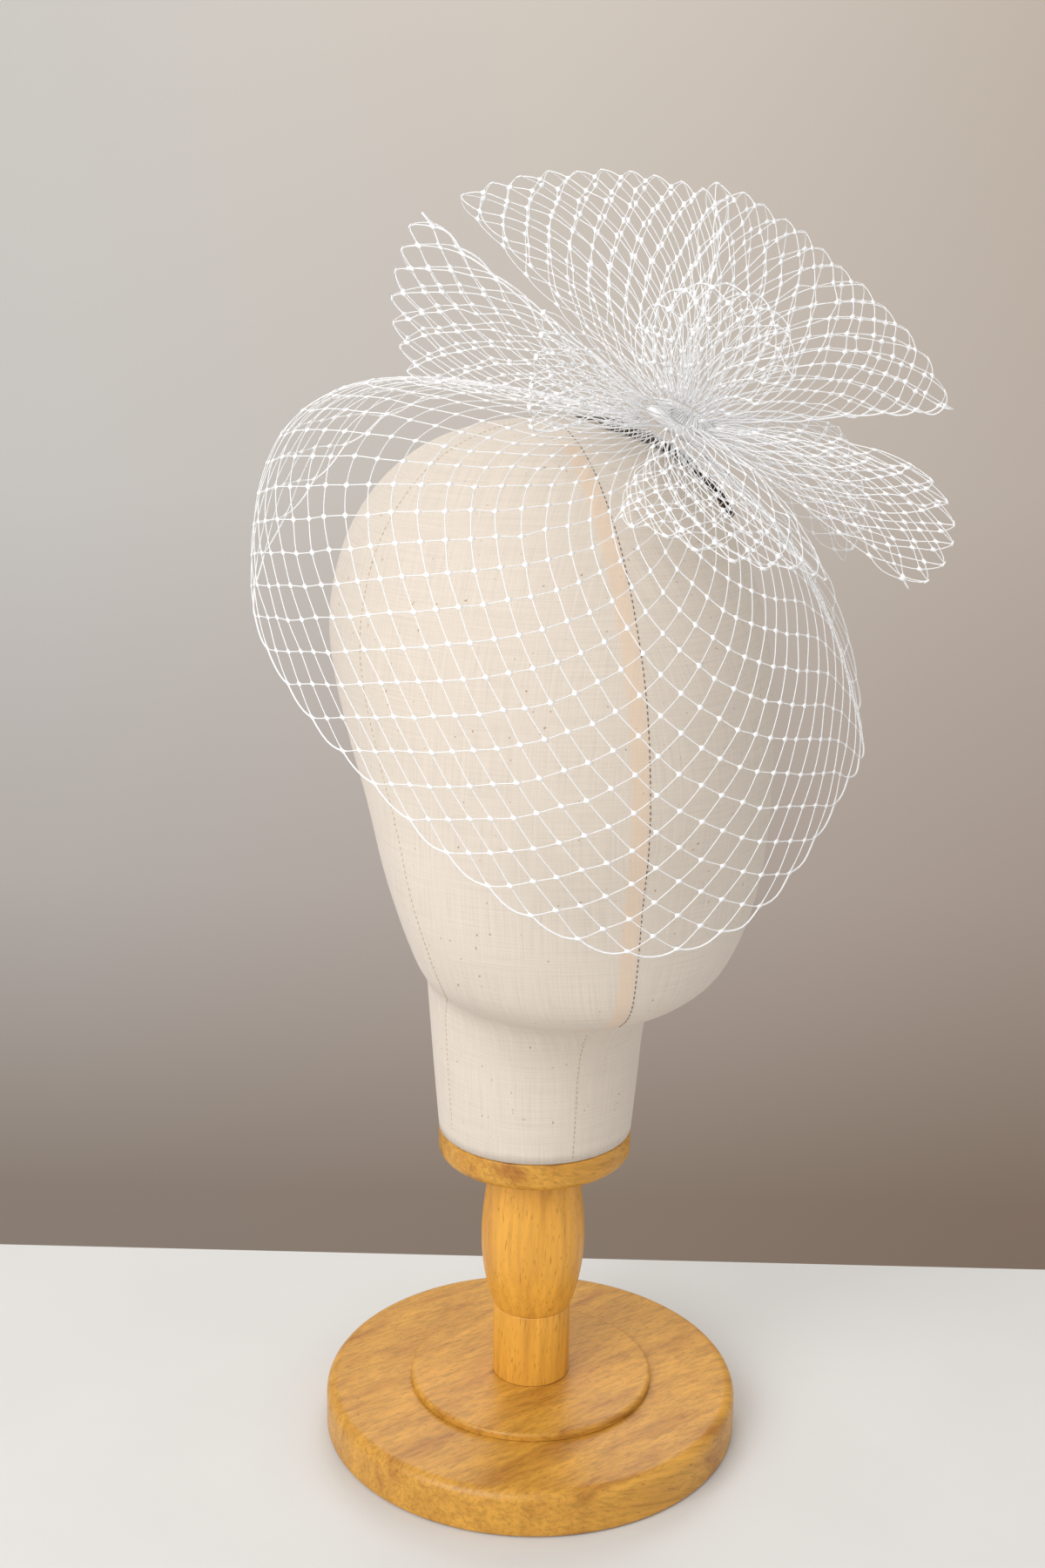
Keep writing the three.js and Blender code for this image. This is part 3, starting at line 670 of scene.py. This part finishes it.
def net_row(lines, rows, k):
    """Places of a row of knots, and its marks: 2 inside the net, 1 one row past its end."""
    inside = rows[k] < lines.length
    previous = rows[k - 1] < lines.length if k else inside
    return lines.at(np.minimum(rows[k], lines.length)), np.where(inside, 2, np.where(previous, 1, 0))


class Netting:
    """Knots on a grid of columns and rows, joined by legs along both diagonals.

    live marks the grid's places: 0 outside the net, 1 where a leg ends without a knot, 2 a knot and
    3 a bend in an edge, without a knot.
    """

    def __init__(self, places, live):
        self.places = places
        self.live = live

    def side_cords(self, first, last):
        """Marks the bends along both sides, and gives the runs of the sides that are selvedges."""
        columns, rows = self.live.shape
        cords = []
        for side, inner, selvedge in ((0, 1, first), (columns - 1, columns - 2, last)):
            zigzag = []
            for k in range(rows):
                column = side if (side + k) % 2 == 0 else inner
                if self.has(column, k):
                    zigzag.append((column, k))
                    if column == side and self.live[column, k] == 2:
                        self.live[column, k] = 3
            if selvedge:
                cords.append(zigzag)
        return cords

    def has(self, i, k):
        columns, rows = self.live.shape
        return 0 <= i < columns and 0 <= k < rows and (i + k) % 2 == 0 and self.live[i, k] > 0

    def legs(self):
        columns, rows = self.live.shape
        for k in range(rows - 1):
            for i in range(columns):
                for s in (-1, 1):
                    if self.has(i, k) and self.has(i + s, k + 1):
                        if self.live[i, k] > 1 or self.live[i + s, k + 1] > 1:
                            yield i, k, s

    def first_of(self, spots, otherwise):
        """The place of the first of these grid spots that is part of the net."""
        for spot in spots:
            if self.has(*spot):
                return self.places[spot]
        return otherwise

    def leg_path(self, i, k, s, steps):
        """A leg from knot to knot, bent so that its thread runs smoothly through both."""
        a, b = self.places[i, k], self.places[i + s, k + 1]
        before = self.first_of(((i - s, k - 1), (i - s, k + 1), (i + s, k - 1)), a)
        after = self.first_of(((i + 2 * s, k + 2), (i, k + 2), (i + 2 * s, k)), b)
        start, end = (b - before) / 2, (after - a) / 2
        for j in range(1, steps):
            t = j / steps
            yield (a * (2 * t ** 3 - 3 * t ** 2 + 1) + start * (t ** 3 - 2 * t ** 2 + t)
                   + b * (3 * t ** 2 - 2 * t ** 3) + end * (t ** 3 - t ** 2))

    def knot_frame(self, i, k):
        """A knot's turn and the shares of its width that lie across and along its column."""
        here = self.places[i, k]
        ends = []
        for s, t in ((1, 1), (-1, -1), (-1, 1), (1, -1)):
            ends.append(self.places[i + s, k + t] if self.has(i + s, k + t) else here)
        first, second = unit(ends[0] - ends[1] + 1e-9), unit(ends[2] - ends[3] + 1e-9)
        along, across = first + second, first - second
        wide, deep = np.linalg.norm(across) / 2, np.linalg.norm(along) / 2
        across, along = unit(across + 1e-9), unit(along + 1e-9)
        facing = unit(np.cross(across, along) + 1e-9)
        along = np.cross(facing, across)
        turn = Matrix((across, along, facing)).transposed().to_euler()
        return turn, wide, deep


def net_piece(name, node, netting, settings, group, material, cords):
    """Builds a piece of netting. cords are runs of grid places that carry the thick selvedge."""
    size = settings.knot
    radius = settings.thread / 2
    paths, thick, knots = [], [], {}
    on_cord = {frozenset(pair) for run in cords for pair in zip(run, run[1:])}
    for i, k, s in netting.legs():
        a, b = (i, k), (i + s, k + 1)
        middle = [(None, p * MM) for p in netting.leg_path(i, k, s, LEG_STEPS)]
        paths.append([(a, netting.places[a] * MM), *middle, (b, netting.places[b] * MM)])
        thick.append(settings.selvedge / 2 if frozenset((a, b)) in on_cord else radius)
    columns, rows = netting.live.shape
    for i in range(columns):
        for k in range(rows):
            if netting.has(i, k) and netting.live[i, k] == 2:
                turn, wide, deep = netting.knot_frame(i, k)
                aside = [netting.places[i + s, k] for s in (-2, 2) if netting.has(i + s, k)]
                room = min((np.linalg.norm(p - netting.places[i, k]) for p in aside), default=ALONE)
                reach = math.sqrt(2) * size * min(1.0, max(SMALLEST_KNOT, room / CROWDED))
                knots[(i, k)] = (turn, (reach * max(wide, NARROWEST_KNOT),
                                        reach * max(deep, NARROWEST_KNOT), size))
    piece = threads_piece(name, paths, thick, group, material, knots)
    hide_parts(node)
    return piece


def build_face_net(settings, group, material):
    """The face net: rows of knots march from the hem to the gather."""
    leg = settings.leg / MM
    fine = np.linspace(0, 1, 2000)
    hem = veil_points(fine, 1.0)
    run = np.concatenate(([0], np.cumsum(np.linalg.norm(np.diff(hem, axis=0), axis=1))))
    count = 2 * round(run[-1] / (leg * 0.85) / 2)
    u_lines = np.interp(np.linspace(0, run[-1], count + 1), run, fine)
    lines = NetLines(veil_points, u_lines, 1.0, 0.0)
    rows = march(lines, np.zeros(count + 1), leg, EDGE_DEPTH)
    name = "veil_net"
    rng = np.random.default_rng(len(name) + len(rows))
    places = np.zeros((count + 1, len(rows), 3))
    live = np.zeros((count + 1, len(rows)), int)
    for k in range(len(rows)):
        places[:, k], live[:, k] = net_row(lines, rows, k)
    places += rng.normal(0, FACE_JITTER, places.shape) * (live == 2)[..., None]
    netting = Netting(places, live)
    hem_cord = [(i, i % 2) for i in range(count + 1)]
    live[::2, 0] = 3
    cords = [hem_cord, *netting.side_cords(True, True)]
    piece = net_piece(name, "face_net", netting, settings, group, material, cords)
    return piece, (count * leg / math.sqrt(2) * MM, (len(rows) - 1) * leg / math.sqrt(2) * MM)


def build_loop(node, loop, settings, group, material):
    """One loop of the pouf: its rows of knots march from the fold down both sides."""
    leg = settings.pouf_leg / MM
    count = loop["columns"]
    across = np.concatenate(([1 - EDGE_DEPTH], np.arange(1, count), [count - 1 + EDGE_DEPTH]))
    across = (across - across[0]) / (across[-1] - across[0])

    def surface(v, u):
        return loop_points(loop, u, v)

    halves = []
    for end in (0.0, 1.0):
        lines = NetLines(surface, across, 0.5, end)
        halves.append((lines, march(lines, np.zeros(count + 1), leg)))
    front, back = halves
    front_rows, back_rows = len(front[1]), len(back[1])
    total = front_rows + back_rows - 1
    places = np.zeros((count + 1, total, 3))
    live = np.zeros((count + 1, total), int)
    for (lines, rows), sign in ((front, -1), (back, 1)):
        for j in range(len(rows)):
            k = front_rows - 1 + sign * j
            places[:, k], live[:, k] = net_row(lines, rows, j)
    rng = np.random.default_rng(count + total)
    places += rng.normal(0, POUF_JITTER, places.shape) * (live == 2)[..., None]
    netting = Netting(places, live)
    cords = netting.side_cords(loop["edge_a"], loop["edge_b"])
    name = "pouf_" + node.removeprefix("loop_")
    piece = net_piece(name, node, netting, settings, group, material, cords)
    return piece, (count * leg / math.sqrt(2) * MM, (total - 1) * leg / math.sqrt(2) * MM)


# ---------------------------------------------------------------- operators
class VEIL_OT_turned_stand(bpy.types.Operator):
    """Turn the base, its step, the post and the collar"""
    bl_idname = "veil.turned_stand"
    bl_label = "Turned stand"

    def execute(self, context):
        settings = context.scene.veil_stand
        base = wood_material("base_wood", settings, (math.cos(0.26), math.sin(0.26), -0.22), 0.95)
        post = wood_material("post_wood", settings, (0.03, 0.02, 1.0), 1.15, 0.4)
        for node, material in (("base_disc", base), ("base_step", base), ("post_foot", post),
                               ("post_bulb", post), ("collar", base)):
            turned_piece(node, PROFILES[node](), settings.sides, material)
        return {"FINISHED"}


def arc(cx, cz, radius, start, end, steps):
    """Points on a rounded edge of a profile."""
    turns = np.radians(np.linspace(start, end, steps + 1))
    return [(cx + radius * math.cos(a), cz + radius * math.sin(a)) for a in turns]


def disc_profile(node, foot_edge, top_edge, steps=6):
    """The outline of a disc with rounded rims, from its CAD node's box."""
    low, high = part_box(node)
    radius = (high.x - low.x) / 2
    side = []
    if foot_edge:
        side += arc(radius - foot_edge, low.z + foot_edge, foot_edge, -90, 0, steps)
    else:
        side.append((radius, low.z))
    if top_edge:
        side += arc(radius - top_edge, high.z - top_edge, top_edge, 0, 90, steps)
    else:
        side.append((radius, high.z))
    return [(0, low.z), *side, (0, high.z)]


def bulb_profile():
    """The outline of the post's bulb, from its foot to its neck."""
    low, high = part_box("post_bulb")
    foot, neck = 16.8 * MM, 18 * MM
    widest = (high.x - low.x) / 2
    side = []
    for f in np.linspace(0, 1, 40):
        end = foot + (neck - foot) * f
        side.append((end + (widest - end) * math.sin(math.pi * f ** 0.86),
                     low.z + (high.z - low.z) * f))
    return [(0, low.z), *side, (0, high.z)]


PROFILES = {
    "base_disc": lambda: disc_profile("base_disc", 1.5 * MM, 5 * MM),
    "base_step": lambda: disc_profile("base_step", 0, 1.6 * MM),
    "post_foot": lambda: disc_profile("post_foot", 0, 0.6 * MM),
    "post_bulb": bulb_profile,
    "collar": lambda: disc_profile("collar", 4 * MM, 0.8 * MM),
}


def turned_piece(node, profile, sides, material):
    """Spins a profile round the stand's axis."""
    bm = bmesh.new()
    verts = [bm.verts.new((r, 0, z)) for r, z in profile]
    edges = [bm.edges.new(pair) for pair in zip(verts, verts[1:])]
    bmesh.ops.spin(bm, geom=verts + edges, cent=(0, 0, 0), axis=(0, 0, 1), angle=math.tau,
                   steps=sides, use_merge=True)
    bmesh.ops.remove_doubles(bm, verts=bm.verts, dist=1e-6)
    bmesh.ops.recalc_face_normals(bm, faces=bm.faces)
    piece = finish_piece(bm, "turned_" + node)
    piece.data.materials.append(material)
    piece.data.set_sharp_from_angle(angle=math.radians(35))
    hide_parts(node)
    return piece


def head_points(place, angle):
    """Places on the head at rows' places and angles, 0 ahead and growing to the wearer's left."""
    row = smooth_at(HEAD, place)
    ahead = np.cos(angle)
    depth = np.where(ahead > 0, row["front"] - row["broadest"], row["back"] + row["broadest"])
    return np.stack((row["wide"] * np.sin(angle), -row["broadest"] - depth * ahead,
                     row["z"] + 0 * angle), -1) * MM


class VEIL_OT_head_block(bpy.types.Operator):
    """Cover the head block with linen, seam it and stitch it"""
    bl_idname = "veil.head_block"
    bl_label = "Head block"

    def execute(self, context):
        settings = context.scene.veil_head
        material = linen_material(settings)
        head_cover(settings, material)
        seam_stitches(settings)
        return {"FINISHED"}


def head_cover(settings, material):
    """Rings of linen bridged from the neck to the crown."""
    sides = settings.sides
    last = len(HEAD["z"]) - 1
    stops = np.linspace(0, last, last * settings.steps + 1)[:-1]
    angles = np.linspace(0, math.tau, sides, endpoint=False)
    bm = bmesh.new()
    rings = []
    for stop in stops:
        made = bmesh.ops.create_circle(bm, cap_ends=False, radius=1.0, segments=sides)
        for vert, co in zip(made["verts"], head_points(np.full(sides, stop), angles)):
            vert.co = co
        rings.append(list({e for v in made["verts"] for e in v.link_edges}))
    for low, high in zip(rings, rings[1:]):
        bmesh.ops.bridge_loops(bm, edges=low + high)
    bmesh.ops.edgeloop_fill(bm, edges=rings[0])
    crown = bmesh.ops.edgeloop_fill(bm, edges=rings[-1])
    poked = bmesh.ops.poke(bm, faces=crown["faces"])
    poked["verts"][0].co.z = HEAD["z"][-1] * MM
    bmesh.ops.recalc_face_normals(bm, faces=bm.faces)
    uv = bm.loops.layers.uv.new("cloth")
    for face in bm.faces:
        centre = face.calc_center_median()
        quarter = math.floor(math.atan2(centre.x, -centre.y) / (math.pi / 2))
        panel = (quarter + 0.5) * math.pi / 2
        for loop in face.loops:
            x, y, z = loop.vert.co
            angle = math.atan2(x, -y) - panel
            angle = (angle + math.pi) % math.tau - math.pi
            loop[uv].uv = (angle * math.hypot(x, y) + panel, z * 1.15)
    piece = finish_piece(bm, "linen_cover")
    piece.data.materials.append(material)
    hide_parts("head_form")
    return piece


SEAMS = (
    # name, the seam's angle from straight ahead, its ends in z, colour, and half thickness
    ("face_seam_stitches", 0.0, 217, 438, (0.20, 0.12, 0.065), 0.2 * MM),
    ("neck_seam_stitches", 0.0, 143, 203, (0.50, 0.38, 0.25), 0.14 * MM),
    ("side_seam_stitches", -78.0, 150, 438, (0.62, 0.49, 0.33), 0.14 * MM),
    ("far_seam_stitches", 78.0, 150, 438, (0.62, 0.49, 0.33), 0.14 * MM),
    ("back_seam_stitches", 180.0, 143, 438, (0.50, 0.38, 0.25), 0.14 * MM),
)


def seam_stitches(settings):
    """Short stitches along the seams between the linen's panels."""
    pitch = settings.stitch * 1.9
    for name, degrees, low, high, colour, half_thick in SEAMS:
        thread = plain_material(name, colour, 0.8, 0.3)
        group = thread_nodes(name, thread, 5, capped=True)
        places = np.linspace(0, len(HEAD["z"]) - 1, 3000)
        line = head_points(places, np.full(len(places), math.radians(degrees)))
        line = line[(line[:, 2] > low * MM) & (line[:, 2] < high * MM)]
        run = np.concatenate(([0], np.cumsum(np.linalg.norm(np.diff(line, axis=0), axis=1))))
        outward = np.array((math.sin(math.radians(degrees)), -math.cos(math.radians(degrees)), 0))
        paths = []
        for start in np.arange(0, run[-1] - settings.stitch, pitch):
            path = []
            for f in (0, 0.5, 1):
                where = start + f * settings.stitch
                point = np.array([np.interp(where, run, line[:, k]) for k in range(3)])
                path.append((None, point + outward * 0.12 * MM * math.sin(math.pi * f)))
            paths.append(path)
        piece = threads_piece(name, paths, [half_thick] * len(paths), group, thread)


class VEIL_OT_comb(bpy.types.Operator):
    """Lacquer the comb and whip it with thread"""
    bl_idname = "veil.comb"
    bl_label = "Comb"

    def execute(self, context):
        lacquer = plain_material("black_lacquer", (0.035, 0.028, 0.025), 0.35, 0.4, 500.0)
        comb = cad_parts["comb"]
        comb.data.materials.clear()
        comb.data.materials.append(lacquer)
        whipping(context.scene.veil_netting)
        return {"FINISHED"}


COMB_ENDS = ((17, -13), (68, -24))  # ends of the comb's spine in plan
COMB_LIFT = 2.2 * MM  # from the linen to the middle of the spine


def comb_spine(places):
    """Places along the middle of the comb's spine and the linen's normals under them."""
    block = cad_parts["head_form"].data
    linen = BVHTree.FromPolygons([v.co for v in block.vertices],
                                 [p.vertices for p in block.polygons])
    start, end = (Vector((*e, 0)) * MM for e in COMB_ENDS)
    found = []
    for f in places:
        above = start.lerp(end, f) + Vector((0, 0, 1))
        hit, normal, _, _ = linen.ray_cast(above, Vector((0, 0, -1)))
        found.append((np.array(hit + normal * COMB_LIFT), np.array(normal)))
    return found


def whipping(settings):
    """Thread wound round the comb's spine, brown below and white over it."""
    steps = 10
    for name, colour, turns, high, wide in (
            ("whipping_brown", (0.19, 0.13, 0.09), 64, 1.9 * MM, 3.4 * MM),
            ("whipping_white", None, 30, 2.15 * MM, 3.7 * MM)):
        spine = comb_spine(np.linspace(0.01, 0.99, turns * steps))
        line = unit(spine[-1][0] - spine[0][0])
        material = (net_material_once(settings) if colour is None
                    else plain_material(name, colour, 0.6, 0.3))
        group = thread_nodes(name, material, 5)
        path = []
        for j, (middle, up) in enumerate(spine):
            angle = math.tau * j / steps
            side = unit(np.cross(up, line))
            path.append((None, middle + wide * math.cos(angle) * side
                         + high * math.sin(angle) * up))
        piece = threads_piece(name, [path], [settings.thread * 0.6], group, material)


BUNDLE_THREADS = 220  # threads over the gather's core
BUNDLE_REACH = 1.3  # how far each runs from the gather's top, in radians both ways
CORE_DEPTH = 3.0  # from the gather's CAD surface to the core under its threads


class VEIL_OT_gather(bpy.types.Operator):
    """Bundle the drawn-up threads on the comb"""
    bl_idname = "veil.gather"
    bl_label = "Gather"

    def execute(self, context):
        settings = context.scene.veil_netting
        material = net_material_once(settings)
        group = thread_nodes("bundle_threads", material, 4, capped=True)
        rng = np.random.default_rng(7)
        paths = []
        along, across, up = GATHER_AXES
        for _ in range(BUNDLE_THREADS):
            spin = rng.uniform(0, math.tau)
            tilt = rng.normal(0, 0.5)
            first = np.cos(spin) * across + np.sin(spin) * along
            axis = unit(np.cross(first, up) + tilt * along)
            swell = rng.uniform(-1.4, 0.6)
            path = []
            for turn in np.linspace(-BUNDLE_REACH, BUNDLE_REACH, 9):
                spun = Matrix.Rotation(turn, 3, Vector(axis)) @ Vector(up)
                path.append((None, on_gather(np.array(spun)[None], swell)[0] * MM))
            paths.append(path)
        piece = threads_piece("gather_bundle", paths, [settings.thread * 0.55] * len(paths), group,
                              material)
        core = bmesh.new()
        bmesh.ops.create_uvsphere(core, u_segments=32, v_segments=18, radius=1.0)
        basis = Matrix([Vector(a) for a in GATHER_AXES]).transposed().to_4x4()
        scale = Matrix.Diagonal([(h - CORE_DEPTH) * MM for h in GATHER_HALF] + [1.0])
        bmesh.ops.transform(core, verts=core.verts,
                            matrix=Matrix.Translation(GATHER * MM) @ basis @ scale)
        heart = finish_piece(core, "gather_core")
        heart.data.materials.append(material)
        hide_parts("gather")
        return {"FINISHED"}


def net_material_once(settings):
    """The net's material, made the first time it is asked for."""
    return bpy.data.materials.get("net_thread") or net_material(settings)


def netting_group_once(settings):
    """The netting's geometry nodes, made the first time they are asked for."""
    found = bpy.data.node_groups.get("net_threads")
    if found:
        return found
    return thread_nodes("net_threads", net_material_once(settings), 4, knot_shape())


class VEIL_OT_face_net(bpy.types.Operator):
    """Net the veil from its hem to the gather"""
    bl_idname = "veil.face_net"
    bl_label = "Face net"

    def execute(self, context):
        settings = context.scene.veil_netting
        material = net_material_once(settings)
        piece, (width, length) = build_face_net(settings, netting_group_once(settings), material)
        return {"FINISHED"}


class VEIL_OT_pouf(bpy.types.Operator):
    """Fold the loops of the pouf"""
    bl_idname = "veil.pouf"
    bl_label = "Pouf"

    def execute(self, context):
        settings = context.scene.veil_netting
        group = netting_group_once(settings)
        material = net_material_once(settings)
        for node, loop in LOOPS.items():
            piece, flat = build_loop(node, loop, settings, group, material)
        return {"FINISHED"}


class VEIL_OT_stage(bpy.types.Operator):
    """Set the camera, lamps, floor and backdrop"""
    bl_idname = "veil.stage"
    bl_label = "Stage"

    def execute(self, context):
        settings = context.scene.veil_stage
        scene = context.scene
        camera = bpy.data.objects.new("camera", bpy.data.cameras.new("camera"))
        camera.data.lens = settings.lens
        camera.data.clip_start = 0.01
        camera.location = settings.eye
        level = Matrix.Rotation(settings.yaw, 3, "Z") @ Matrix.Rotation(
            math.pi / 2 - settings.pitch, 3, "X")
        camera.rotation_euler = (level @ Matrix.Rotation(settings.roll, 3, "Z")).to_euler()
        scene.collection.objects.link(camera)
        scene.camera = camera
        scene.view_settings.view_transform = "Standard"
        stage_surfaces(settings)
        lamps(settings)
        return {"FINISHED"}


def stage_surfaces(settings):
    """A pale table top whose far edge shows, and a wall behind it whose colour carries painted
    shade.
    """
    cloth = plain_material("table_cloth", (0.67, 0.665, 0.65), 0.9, 0.03, 9.0)
    wall = wall_material()
    turn = Matrix.Rotation(math.radians(-23.1), 4, "Z")
    for name, size, place, tilt, material in (
            ("floor", (2.4, 1.6), (0.0, -0.658, -0.0004), 0.0, cloth),
            ("backdrop", (4.0, 4.0), (0.0, 1.5, 0.6), math.pi / 2, wall)):
        bm = bmesh.new()
        bmesh.ops.create_grid(bm, x_segments=8, y_segments=8, size=0.5)
        stand = Matrix.Rotation(tilt, 4, "X")
        spread = Matrix.Diagonal((*size, 1.0, 1.0))
        bmesh.ops.transform(bm, verts=bm.verts, matrix=turn @ Matrix.Translation(place) @ stand
                            @ spread)
        mesh = bpy.data.meshes.new(name)
        bm.to_mesh(mesh)
        bm.free()
        surface = bpy.data.objects.new(name, mesh)
        bpy.context.scene.collection.objects.link(surface)
        mesh.materials.append(material)


def wall_material():
    """Wall colour with painted shade: darker downwards and to the right, as under a window on the
    left.
    """
    material, add = node_tree_of("wall_painted_shade")
    where = add("ShaderNodeTexCoord").outputs["Object"]
    down = add("ShaderNodeVectorMath", {0: where, 1: (0.0, 0.0, -0.70)}, operation="DOT_PRODUCT")
    depth = add("ShaderNodeMath", {0: down.outputs["Value"], 1: 0.51})
    # painted shade: the wall's colour darkens downwards
    shade = ramp(add, depth.outputs[0], (0.0, (0.60, 0.58, 0.55)), (0.36, (0.605, 0.585, 0.565)),
                 (0.69, (0.50, 0.46, 0.44)), (0.97, (0.31, 0.255, 0.215)))
    right = add("ShaderNodeVectorMath", {0: where, 1: (0.79, -0.337, 0.0)},
                operation="DOT_PRODUCT")
    side = add("ShaderNodeMath", {0: right.outputs["Value"], 1: 0.5})
    # painted shade: the wall's colour darkens and warms towards the right
    side_shade = ramp(add, side.outputs[0], (0.0, (1.0, 1.0, 1.0)), (0.5, (0.98, 0.92, 0.87)),
                (1.0, (0.86, 0.77, 0.70)))
    tone = mix(add, 1.0, shade, side_shade, "MULTIPLY")
    shader = add("ShaderNodeBsdfPrincipled", {"Base Color": tone, "Roughness": 0.95})
    add("ShaderNodeOutputMaterial", {"Surface": shader.outputs["BSDF"]})
    return material


def lamps(settings):
    """A large soft lamp from the left, a weak one from the right and an even surround."""
    for name, place, size, power in (
            ("main_lamp", (-1.5, -0.9, 1.3), 1.5, settings.lamp),
            ("fill_lamp", (1.3, -1.2, 0.9), 1.6, settings.lamp * 0.11),
            ("back_lamp", (0.5, 1.1, 1.4), 1.0, settings.lamp * 0.3)):
        data = bpy.data.lights.new(name, "AREA")
        data.energy = power
        data.size = size
        lamp = bpy.data.objects.new(name, data)
        lamp.location = place
        aim = Vector((0, 0, 0.32)) - Vector(place)
        lamp.rotation_euler = aim.to_track_quat("-Z", "Y").to_euler()
        bpy.context.scene.collection.objects.link(lamp)
    world = bpy.data.worlds.new("surround")
    bpy.context.scene.world = world
    world.use_nodes = True
    light = world.node_tree.nodes["Background"]
    light.inputs["Color"].default_value = (1.0, 0.985, 0.96, 1)
    light.inputs["Strength"].default_value = 0.62


# ---------------------------------------------------------------- panel and registration
OPERATORS = (VEIL_OT_stage, VEIL_OT_turned_stand, VEIL_OT_head_block, VEIL_OT_comb,
             VEIL_OT_gather, VEIL_OT_face_net, VEIL_OT_pouf)
SETTINGS = {"veil_netting": NettingSettings, "veil_head": HeadSettings,
            "veil_stand": StandSettings, "veil_stage": StageSettings}


class VEIL_PT_pieces(bpy.types.Panel):
    """The veil's pieces, in the order they are made"""
    bl_idname = "VEIL_PT_pieces"
    bl_label = "Birdcage veil"
    bl_space_type = "VIEW_3D"
    bl_region_type = "UI"
    bl_category = "Veil"

    def draw(self, context):
        for name, group in SETTINGS.items():
            box = self.layout.box()
            for prop in group.__annotations__:
                box.prop(getattr(context.scene, name), prop)
        for operator in OPERATORS:
            self.layout.operator(operator.bl_idname)


def register():
    for name, group in SETTINGS.items():
        bpy.utils.register_class(group)
        setattr(bpy.types.Scene, name, PointerProperty(type=group))
    for operator in OPERATORS:
        bpy.utils.register_class(operator)
    bpy.utils.register_class(VEIL_PT_pieces)


def unregister():
    bpy.utils.unregister_class(VEIL_PT_pieces)
    for operator in reversed(OPERATORS):
        bpy.utils.unregister_class(operator)
    for name, group in reversed(SETTINGS.items()):
        delattr(bpy.types.Scene, name)
        bpy.utils.unregister_class(group)


def main():
    register()
    for operator in OPERATORS:
        family, action = operator.bl_idname.split(".")
        getattr(getattr(bpy.ops, family), action)()


if __name__ == "__main__":
    main()
